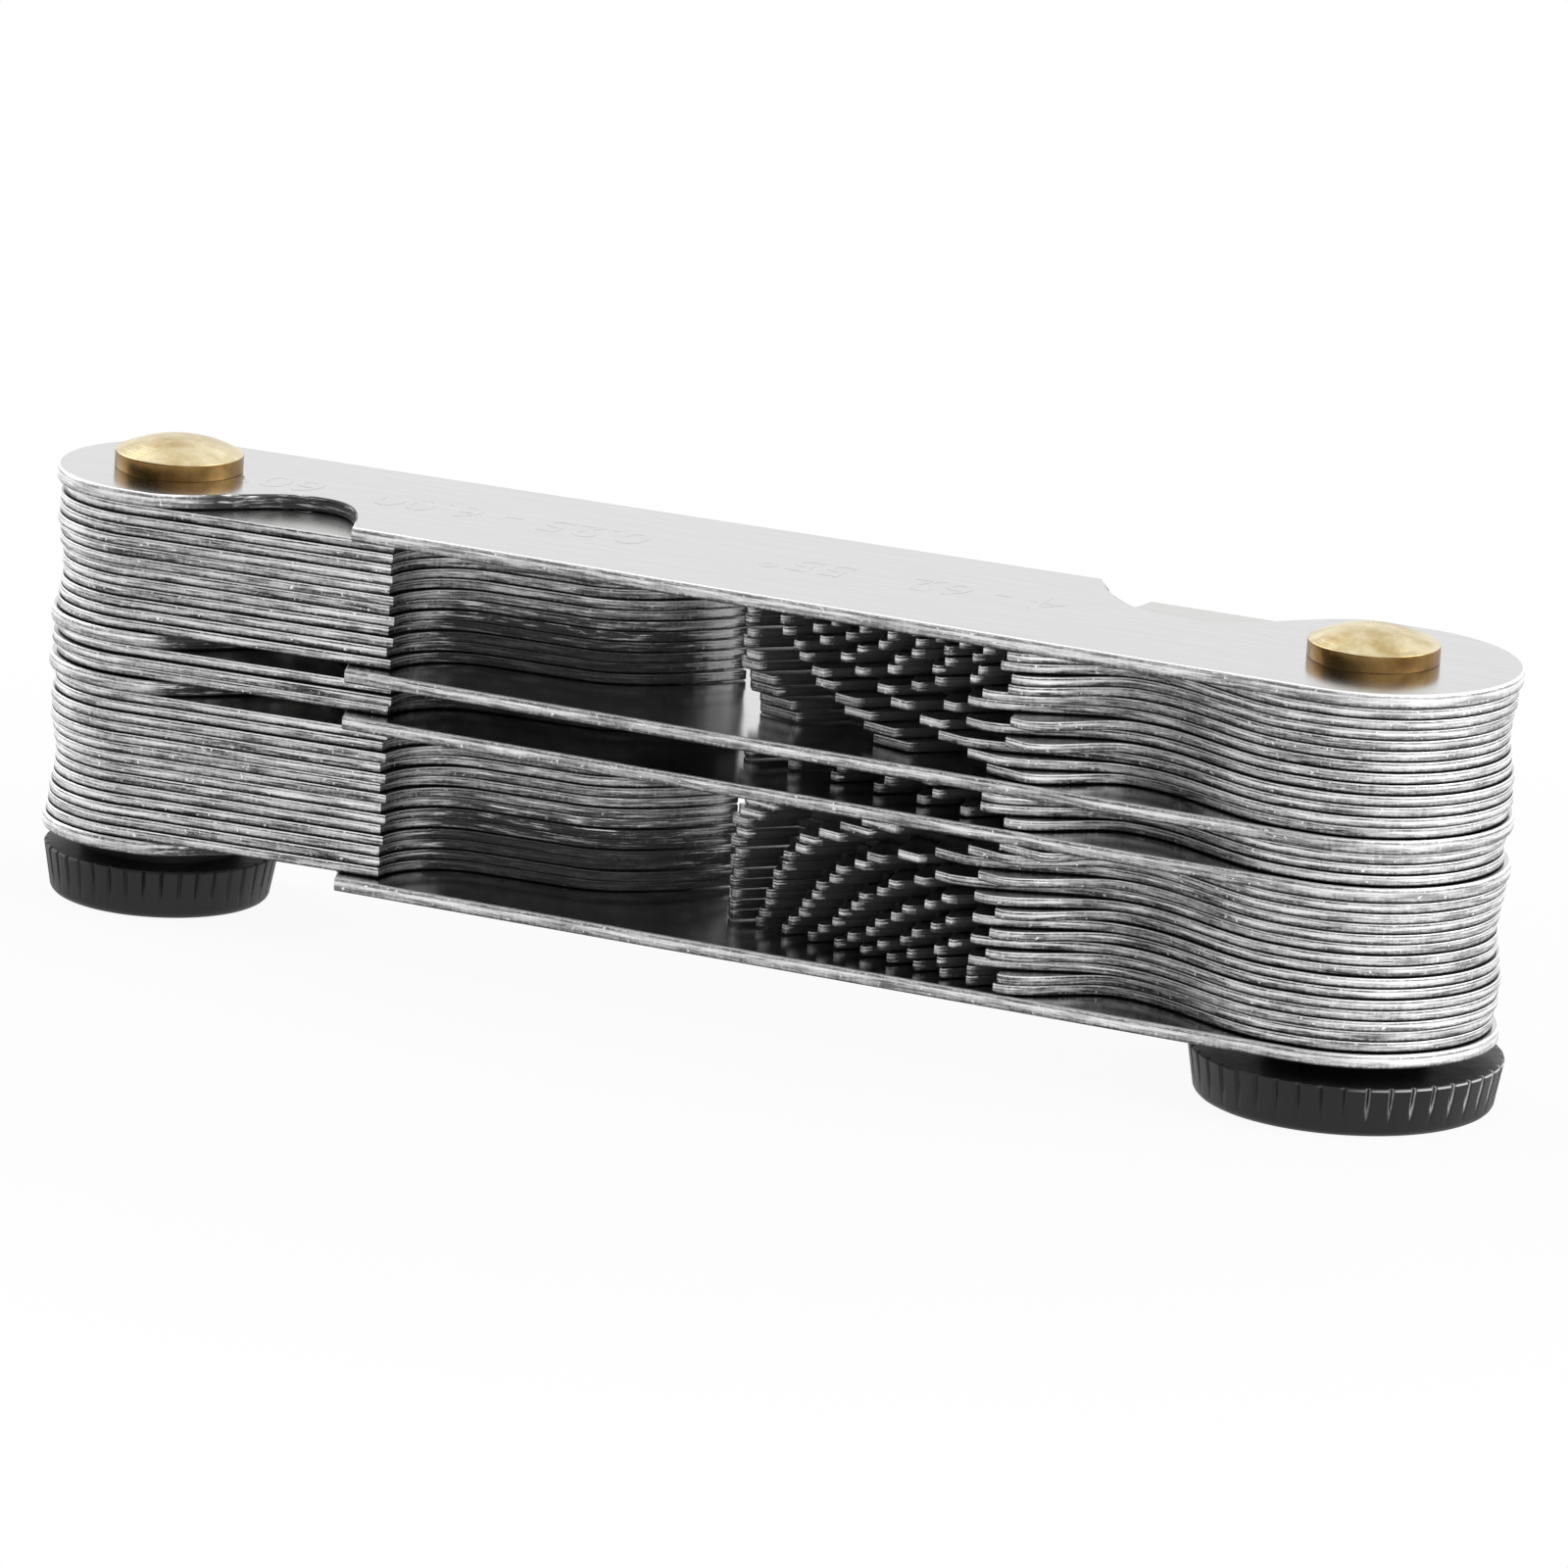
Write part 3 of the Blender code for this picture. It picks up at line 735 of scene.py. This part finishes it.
def nut_profile(end, height):
    """Bore, rounded foot, tapered rim, flat top and a plain collar."""
    foot = end.nut_radius - NUT_TAPER - NUT_EDGE_ROUND
    profile = [(BORE_RADIUS, 0.0), (foot, 0.0)]
    profile += arc((foot, NUT_EDGE_ROUND), NUT_EDGE_ROUND, -90, 0, ROUND_SEGMENTS)[1:]
    side_bottom, side_top = profile[-1], (end.nut_radius, NUT_RIM_HEIGHT - NUT_TOP_EDGE)
    for share in NUT_SIDE_STEPS:
        profile.append((side_bottom[0] + (side_top[0] - side_bottom[0]) * share,
                        side_bottom[1] + (side_top[1] - side_bottom[1]) * share))
    profile.append((end.nut_radius - NUT_TOP_EDGE, NUT_RIM_HEIGHT))
    profile.append((end.nut_radius - 2 * FLUTE_DEPTH, NUT_RIM_HEIGHT))
    profile += [(COLLAR_RADIUS, NUT_RIM_HEIGHT), (COLLAR_RADIUS, height - NUT_TOP_EDGE),
                (COLLAR_RADIUS - NUT_TOP_EDGE, height), (BORE_RADIUS, height)]
    return profile


def fluted_rim_tree():
    """Press narrow grooves into the rim of a turned nut, and note where they lie."""
    tree, given = group("fluted_rim", (
        ("Nut", "NodeSocketGeometry"), ("Flutes", "NodeSocketFloat"),
        ("Depth", "NodeSocketFloat"), ("Width Share", "NodeSocketFloat"),
        ("Rim Radius", "NodeSocketFloat"), ("Finish", "NodeSocketMaterial")), "Fluted Nut")
    position = add(tree, "GeometryNodeInputPosition")
    place = add(tree, "ShaderNodeSeparateXYZ", {0: position.outputs[0]}).outputs
    angle = maths(tree, "ARCTAN2", place["Y"], place["X"])
    turns = maths(tree, "DIVIDE", angle, math.tau)
    count = maths(tree, "MULTIPLY", turns, given["Flutes"])
    swing = maths(tree, "PINGPONG", count, 0.5)
    half = maths(tree, "MULTIPLY", given["Width Share"], 0.5)
    groove = remap(tree, swing, 0.0, half, 1.0, 0.0, interpolation_type="SMOOTHSTEP")
    flat = add(tree, "ShaderNodeCombineXYZ", {"X": place["X"], "Y": place["Y"]}).outputs[0]
    reach = add(tree, "ShaderNodeVectorMath", {0: flat}, operation="LENGTH")
    rim_start = maths(tree, "SUBTRACT", given["Rim Radius"], given["Depth"])
    groove_start = maths(tree, "SUBTRACT", rim_start, given["Depth"])
    on_rim = remap(tree, reach.outputs["Value"], groove_start, rim_start)
    amount = maths(tree, "MULTIPLY", groove, on_rim)
    press = maths(tree, "MULTIPLY", amount, given["Depth"])
    inward = maths(tree, "MULTIPLY", press, -1.0)
    outward = add(tree, "ShaderNodeVectorMath", {0: flat}, operation="NORMALIZE")
    move = add(tree, "ShaderNodeVectorMath", {0: outward.outputs[0], "Scale": inward},
               operation="SCALE")
    noted = add(tree, "GeometryNodeStoreNamedAttribute", {"Geometry": given["Nut"],
                                                          "Name": "groove", "Value": amount})
    moved = add(tree, "GeometryNodeSetPosition", {"Geometry": noted.outputs[0],
                                                  "Offset": move.outputs[0]})
    hand_out(tree, moved.outputs[0], given["Finish"], "Fluted Nut")
    return tree


# Materials


def blanked_sheet_steel(name, face_code, dull_code, bright_code, face_roughness, edge_roughness,
                        ground_depth):
    """Sheet steel with smooth faces and a sheared edge.

    The punch leaves a burnished band along one side of the cut and a torn, streaked band along
    the other. Streaks run along the cut and are some 0.06 mm wide. A dark film of painted shade
    covers the hollow edges in patches. Painted highlights lie on the upper lip, the round ends and
    the tips, and painted shade lines run below the lip and at the foot.
    """
    material, tree, shader = new_material(name)
    where = add(tree, "ShaderNodeTexCoord").outputs
    rise, tone, scale = (stored(tree, share) for share in ("rise", "tone", "scale"))
    facing = add(tree, "ShaderNodeSeparateXYZ", {0: where["Normal"]})
    face = remap(tree, maths(tree, "ABSOLUTE", facing.outputs["Z"]), *FLAT_FACE)

    # The cut: burnished above the tear line, streaked, with a painted highlight on the upper lip
    # over a painted shade line
    streaks = noise(tree, where["Object"], EDGE_STREAKS, Detail=6.0, Roughness=0.75)
    patches = noise(tree, where["Object"], EDGE_PATCHES, Detail=3.0)
    grit = noise(tree, where["Object"], EDGE_GRIT, Detail=2.0)
    ticks = noise(tree, where["Object"], EDGE_TICKS, Detail=3.0, Roughness=0.6)
    tear = remap(tree, patches, *PATCH_RANGE, *TEAR_LINE)
    burnish = remap(tree, maths(tree, "SUBTRACT", rise, tear), -TEAR_SOFTNESS, TEAR_SOFTNESS)
    both = maths(tree, "MULTIPLY_ADD", ticks, TICKS_ON_STREAKS, streaks)
    streak = remap(tree, both, *STREAK_RANGE)
    ragged = maths(tree, "MULTIPLY_ADD", ticks, TICKS_ON_RISE, rise)
    lip = remap(tree, ragged, *LIP_HIGHLIGHT)
    below_lip = maths(tree, "COMPARE", rise, SHADE_LINE_MIDDLE, SHADE_LINE_HALF_WIDTH)
    lip_light_and_shade = maths(tree, "MULTIPLY_ADD", below_lip, SHADE_LINE_DEPTH, lip)
    light = maths(tree, "ADD", burnish, streak)
    share = maths(tree, "MULTIPLY_ADD", light, BAND_LIGHT, lip_light_and_shade)
    lit = maths(tree, "MAXIMUM", share, remap(tree, grit, *GRIT_RANGE))
    # Painted highlight: scale below zero brightens the round ends and the tips
    highlighted = maths(tree, "ADD", lit, remap(tree, scale, 0.0, -1.0))
    toned = maths(tree, "ADD", highlighted, tone, use_clamp=True)
    cut = tint(tree, toned, dull_code, bright_code)

    # Painted shade: a dark film in the hollows, broken along the streaks and whole on the flanks,
    # with more painted shade at the foot of the edge
    shade_cover = remap(tree, streaks, *SHADE_GAP_RANGE, SHADE_PATCH_COVER, 0.0)
    shade_amount = maths(tree, "MINIMUM", scale, 1.0)
    patchy_shade = maths(tree, "MULTIPLY", shade_amount, shade_cover, use_clamp=True)
    flank_shade = remap(tree, scale, *FLANK_SHADE_RANGE, 0.0, FLANK_SHADE_COVER)
    painted_shade = maths(tree, "MAXIMUM", patchy_shade, flank_shade)
    # Painted shade at the foot of each edge, where it meets the next sheet
    foot_shade = remap(tree, ragged, *FOOT_SHADE_RANGE, FOOT_SHADE_COVER, 0.0)
    edge = tint(tree, maths(tree, "MAXIMUM", painted_shade, foot_shade), cut, PAINTED_SHADE_FILM)

    # The rolled and ground face
    lines = noise(tree, where["Object"], FACE_LINES, Detail=4.0)
    worn = tint(tree, maths(tree, "MULTIPLY", lines, LINE_CONTRAST), face_code, bright_code)
    bare = remap(tree, painted_shade, 0.0, 1.0, 1.0, SHADE_FILM_METALLIC)
    matt = remap(tree, painted_shade, 0.0, 1.0, edge_roughness, SHADE_FILM_ROUGHNESS)
    depth = mix(tree, face, EDGE_RELIEF * MM, ground_depth * MM)
    feed(tree, shader, {"Base Color": tint(tree, face, edge, worn),
                        "Metallic": mix(tree, face, bare, 1.0),
                        "Roughness": mix(tree, face, matt, face_roughness),
                        "Normal": relief(tree, mix(tree, face, both, lines), depth)})
    return material


def etched_figure(name, code, roughness):
    """Acid-etched figures: the steel is left dull and darker, with a fine grain."""
    material, tree, shader = new_material(name)
    shader.inputs["Metallic"].default_value = 0.9
    shader.inputs["Roughness"].default_value = roughness
    where = add(tree, "ShaderNodeTexCoord").outputs["Object"]
    depth = remap(tree, noise(tree, where, FIGURE_GRAIN, Detail=3.0), 0.0, 1.0, 0.82, 1.12)
    feed(tree, shader, {"Base Color": tint(tree, 1.0, code, depth, blend_type="MULTIPLY")})
    return material


def turned_brass():
    """Brass turned on a lathe and polished: fine rings on the dome, and the sideways-facing rim
    painted darker and browner as shade.
    """
    material, tree, shader = new_material("turned_brass")
    shader.inputs["Metallic"].default_value = 1.0
    where = add(tree, "ShaderNodeTexCoord").outputs
    facing = add(tree, "ShaderNodeSeparateXYZ", {0: where["Normal"]})
    # Painted shade: faces that turn sideways take the darker rim colours
    dome = remap(tree, facing.outputs["Z"], 0.3, 0.8)
    cloud = noise(tree, where["Object"], BRASS_CLOUD, Detail=5.0, Roughness=0.6)
    rings = add(tree, "ShaderNodeTexNoise", {"W": stored(tree, "radius"), "Scale": BRASS_RINGS,
                                             "Detail": 4.0}, noise_dimensions="1D")
    tarnish = remap(tree, cloud, 0.35, 0.65)
    side, clean = (tint(tree, tarnish, *pair) for pair in (SHADED_BRASS_RIM, BRASS_DOME))
    height = maths(tree, "ADD", rings.outputs[0], cloud)
    feed(tree, shader, {"Base Color": tint(tree, dome, side, clean),
                        "Roughness": remap(tree, cloud, 0.3, 0.7, 0.2, 0.34),
                        "Normal": relief(tree, height, BRASS_RELIEF * MM)})
    return material


def black_oxide_steel():
    """Blackened steel: a thin dark oxide, satin, with a painted highlight on the flutes of the
    right nut.
    """
    material, tree, shader = new_material("black_oxide_steel")
    shader.inputs["Metallic"].default_value = 0.0
    shader.inputs["Specular IOR Level"].default_value = 0.3
    where = add(tree, "ShaderNodeTexCoord").outputs["Object"]
    place = add(tree, "ShaderNodeSeparateXYZ", {0: where}).outputs
    groove = stored(tree, "groove")
    mottle = noise(tree, where, OXIDE_MOTTLE, Detail=6.0, Roughness=0.65)

    # Painted highlight on the lips of the flutes and on the rib tops at the rim's upper edge, on
    # the right nut
    lip = maths(tree, "PINGPONG", groove, 0.5)
    flute_lip_highlight = remap(tree, maths(tree, "MULTIPLY", lip, mottle), 0.1, 0.26)
    ring = maths(tree, "COMPARE", place["Z"], (NUT_RIM_HEIGHT - NUT_TOP_EDGE) * MM,
                 NUT_TOP_EDGE / 2 * MM)
    rib_top = maths(tree, "MULTIPLY", ring, remap(tree, groove, 0.05, 0.3, 1.0, 0.0))
    bright = maths(tree, "MAXIMUM", flute_lip_highlight, rib_top)
    highlighted_nut = remap(tree, place["X"], NUT_HIGHLIGHT_FROM * MM, NUT_HIGHLIGHT_TO * MM)
    nut_highlight = maths(tree, "MULTIPLY", bright, highlighted_nut)
    dark = tint(tree, mottle, *OXIDE)
    feed(tree, shader, {"Base Color": tint(tree, nut_highlight, dark, OXIDE_HIGHLIGHT),
                        "Roughness": remap(tree, mottle, 0.3, 0.7, 0.36, 0.52),
                        "Normal": relief(tree, mottle, OXIDE_RELIEF * MM)})
    return material


# Finishes, and the pieces that take them

nickel = blanked_sheet_steel("nickel_plated_sheet", "#b2b2b2", "#6c6c6e", "#ffffff", 0.17, 0.34,
                             0.0001)
spring = blanked_sheet_steel("blanked_spring_steel", "#b4b4b2", "#404042", "#ffffff", 0.26, 0.34,
                             0.002)
leaf_figure = etched_figure("acid_etched_figure", "#3f3f42", 0.55)
cover_figure = etched_figure("light_etched_figure", "#9e9e9e", 0.4)
brass = turned_brass()
oxide = black_oxide_steel()


def leaves():
    """All 58 leaves, each with its name, node, thread and height."""
    found = []
    for kind, first, left, right in (("metric", 0, METRIC_FINE, METRIC_COARSE),
                                     ("inch", 40, INCH_FINE, INCH_COARSE)):
        for layer, pair in enumerate(zip(left, right)):
            depth_share = layer / (len(left) - 1)
            for end, value in zip((LEFT, RIGHT), pair):
                is_metric = kind == "metric"
                node = f"{kind}_leaf_" + (f"{value:.2f}" if is_metric else f"{value:g}")
                low, _ = box_mm(node)
                index = first + 2 * layer + (end is RIGHT)
                found.append(Leaf(f"{node}_blade", end, value, is_metric, index, low.z,
                                  depth_share, 0.0 if is_metric else depth_share, node))
    divider_top = box_mm("upper_divider")[1].z
    for end, values, first in ((LEFT, PIPE_LEFT, 100), (RIGHT, PIPE_RIGHT, 110)):
        for layer, value in enumerate(values):
            bottom = (divider_top - PLATE_THICKNESS
                      - (layer + 1) * (LEAF_THICKNESS + LAYER_GAP))
            name = f"pipe_leaf_{end.name}_{value}_blade"
            found.append(Leaf(name, end, value, False, first + layer, bottom, 1.0, 1.0))
    return found


def make_leaves():
    tree = toothed_sheet_tree()
    bore = arc((0.0, 0.0), BORE_RADIUS, 0, 360, BORE_SEGMENTS)[:-1]
    every = leaves()
    guides, forms = [], []
    for leaf in every:
        form = wire(f"{leaf.name}_tooth", [(leaf.tooth(), False)])
        guide = wire(f"{leaf.name}_outline", [(leaf.blank(), False), (bore, True)])
        step = Vector((*leaf.along, 0.0)) * leaf.pitch
        turn = -math.asin(leaf.along[1])
        grow(guide, tree, {"Tooth Form": form, "Teeth": leaf.teeth, "Tooth Step": step,
                           "First Crest": (*leaf.tip, 0.0), "Row Turn": (0.0, 0.0, turn),
                           "Thickness": LEAF_THICKNESS, "Finish": spring},
             min(LEAF_EDGE_ROUND, FINE_TOOTH_ROUND_SHARE * leaf.pitch))
        guides.append(guide)
        forms.append(form)
    shapes = bpy.context.evaluated_depsgraph_get()
    for leaf, guide in zip(every, guides):
        mesh = bpy.data.meshes.new_from_object(guide.evaluated_get(shapes))
        number = etched(leaf.number, LEAF_NUMBER_SIZE, LEAF_NUMBER_PLACE)
        number.transform(Matrix.Translation((0.0, 0.0, LEAF_THICKNESS)))
        finished(leaf.name, mesh, leaf.place(), leaf.node or "case", leaf.node,
                 [number], leaf_figure, LEAF_THICKNESS, LEAF_TONE_SPREAD * scatter(leaf.index, 6),
                 leaf.shade_and_highlight)
    for guide in guides + forms:
        bpy.data.objects.remove(guide)


def make_plates():
    tree = toothed_sheet_tree()
    bores = [(arc((end.pivot_x, 0.0), BORE_RADIUS, 0, 360, BORE_SEGMENTS)[:-1], True)
             for end in (LEFT, RIGHT)]
    guide = wire("plate_outline", [(plate_outline(), True)] + bores)
    grow(guide, tree, {"Thickness": PLATE_THICKNESS, "Finish": nickel}, PLATE_EDGE_ROUND)
    for number, node in enumerate(("top_cover", "upper_divider", "lower_divider",
                                   "bottom_cover")):
        low, high = box_mm(node)
        bottom = high.z - PLATE_THICKNESS
        if node == "lower_divider":
            bottom = low.z
        shapes = bpy.context.evaluated_depsgraph_get()
        mesh = bpy.data.meshes.new_from_object(guide.evaluated_get(shapes))
        labels = []
        if node == "top_cover":
            for x, text in COVER_NUMBERS:
                label = etched(text, COVER_NUMBER_SIZE, (x, COVER_NUMBER_RISE), math.pi)
                label.transform(Matrix.Translation((0.0, 0.0, PLATE_THICKNESS)))
                labels.append(label)
        place = Matrix.Translation((0.0, 0.0, bottom * MM)) @ Matrix.Scale(MM, 4)
        finished(f"{node}_plate", mesh, place, "case", node, labels, cover_figure,
                 PLATE_THICKNESS, PLATE_TONE_SPREAD * scatter(number, 7),
                 lambda x, y: notch_shade_and_highlight(x, y, COVER_SHADE_START if labels
                                           else DIVIDER_SHADE_START))
    bpy.data.objects.remove(guide)


def make_screws_and_nuts():
    tree = fluted_rim_tree()
    for end in (LEFT, RIGHT):
        move = Matrix.Translation((end.pivot_x * MM, 0.0, 0.0)) @ Matrix.Scale(MM, 4)
        node = f"{end.name}_screw"
        mesh = turned(node, screw_profile(box_mm(node)[1].z), SCREW_SEGMENTS)
        mesh.materials.append(brass)
        finished(f"{node}_turned", mesh, move, "case", node)
        node = f"{end.name}_lock_nut"
        mesh = turned(node, nut_profile(end, box_mm(node)[1].z), NUT_SEGMENTS)
        guide = placed(f"{node}_guide", mesh)
        grow(guide, tree, {"Flutes": float(end.flutes), "Depth": FLUTE_DEPTH,
                           "Width Share": FLUTE_WIDTH_SHARE, "Rim Radius": end.nut_radius,
                           "Finish": oxide}, 0.0)
        shapes = bpy.context.evaluated_depsgraph_get()
        mesh = bpy.data.meshes.new_from_object(guide.evaluated_get(shapes))
        bpy.data.objects.remove(guide)
        finished(f"{node}_fluted", mesh, move, node, node)


make_leaves()
make_plates()
make_screws_and_nuts()

# The studio


def make_floor():
    """A pale floor that keeps a soft shadow by the object and turns plain white further off."""
    build = bmesh.new()
    bmesh.ops.create_grid(build, x_segments=1, y_segments=1, size=FLOOR_SIZE)
    mesh = bpy.data.meshes.new("floor")
    build.to_mesh(mesh)
    build.free()
    floor = placed("floor", mesh)
    material, tree, paper = new_material("white_paper_sweep")
    paper.inputs["Base Color"].default_value = colour(PAPER)
    paper.inputs["Roughness"].default_value = 0.9
    white = add(tree, "ShaderNodeEmission", {"Color": WHITE, "Strength": 1.0})
    where = add(tree, "ShaderNodeTexCoord")
    away = add(tree, "ShaderNodeVectorMath", {0: where.outputs["Object"]}, operation="LENGTH")
    fade = remap(tree, away.outputs["Value"], *SHADOW_FADE, FLOOR_WHITENESS,
                 interpolation_type="SMOOTHSTEP")
    mixed = add(tree, "ShaderNodeMixShader", {0: fade, 1: paper.outputs[0], 2: white.outputs[0]})
    tree.links.new(mixed.outputs[0], tree.nodes["Material Output"].inputs["Surface"])
    mesh.materials.append(material)


def make_world():
    """Plain white for the camera; for metal, white all round but a dim side to the left front."""
    world = bpy.data.worlds.new("studio")
    bpy.context.scene.world = world
    world.use_nodes = True
    tree = world.node_tree
    tree.nodes.clear()
    seen = add(tree, "ShaderNodeLightPath").outputs
    where = add(tree, "ShaderNodeTexCoord")
    turn = math.radians(DARK_SIDE)
    front = add(tree, "ShaderNodeVectorMath", {0: where.outputs["Generated"],
                                               1: (math.cos(turn), math.sin(turn), 0.0)},
                operation="DOT_PRODUCT")
    room = remap(tree, front.outputs["Value"], *ROOM_FADE, ROOM_BRIGHT, ROOM_DIM,
                 interpolation_type="SMOOTHSTEP")
    mirror, ambient, plain = (
        add(tree, "ShaderNodeBackground", {"Color": WHITE, "Strength": strength}).outputs[0]
        for strength in (room, AMBIENT, 1.0))
    sharp = maths(tree, "MAXIMUM", seen["Is Glossy Ray"], seen["Is Transmission Ray"])
    lit = add(tree, "ShaderNodeMixShader", {0: sharp, 1: ambient, 2: mirror})
    shown = add(tree, "ShaderNodeMixShader", {0: seen["Is Camera Ray"], 1: lit.outputs[0],
                                              2: plain})
    add(tree, "ShaderNodeOutputWorld", {"Surface": shown.outputs[0]})


def make_lamp(name, place, power):
    """A soft square panel that faces the middle of the gauge."""
    lamp = bpy.data.lights.new(name, "AREA")
    lamp.shape = "RECTANGLE"
    lamp.size = lamp.size_y = PANEL_SIZE
    lamp.energy = power
    panel = placed(name, lamp)
    panel.location = place
    aim = Vector((0.0, 0.0, PANEL_AIM_HEIGHT)) - Vector(place)
    panel.rotation_euler = aim.to_track_quat("-Z", "Y").to_euler()


def make_camera():
    """The photograph's view, from its turn, tilt and lean about the top cover's middle."""
    yaw, pitch = math.radians(CAMERA_YAW), math.radians(CAMERA_PITCH)
    roll = math.radians(CAMERA_ROLL)
    axes = Matrix.Rotation(yaw, 3, "Z") @ Matrix.Rotation(pitch, 3, "X")
    ahead = axes.col[1]
    across = math.cos(roll) * axes.col[0] + math.sin(roll) * axes.col[2]
    upward = math.cos(roll) * axes.col[2] - math.sin(roll) * axes.col[0]
    middle = Vector(((LEFT.pivot_x + RIGHT.pivot_x) / 2, 0.0, box_mm("top_cover")[1].z))
    place = (middle - ahead * CAMERA_DISTANCE + across * CAMERA_SIDESTEP
             - upward * CAMERA_DROP)
    lens = bpy.data.cameras.new("photo_view")
    lens.sensor_width = SENSOR_WIDTH
    lens.lens = CAMERA_FOCAL_PIXELS * SENSOR_WIDTH / IMAGE_SIDE
    lens.clip_start = 0.01
    camera = placed("photo_view", lens)
    camera.matrix_world = Matrix.Translation(place * MM) @ Matrix(
        (across, upward, -ahead)).transposed().to_4x4()
    bpy.context.scene.camera = camera


make_floor()
make_world()
for panel_name, panel_place, panel_power in PANELS:
    make_lamp(panel_name, panel_place, panel_power)
make_camera()
bpy.context.scene.view_settings.view_transform = "Standard"
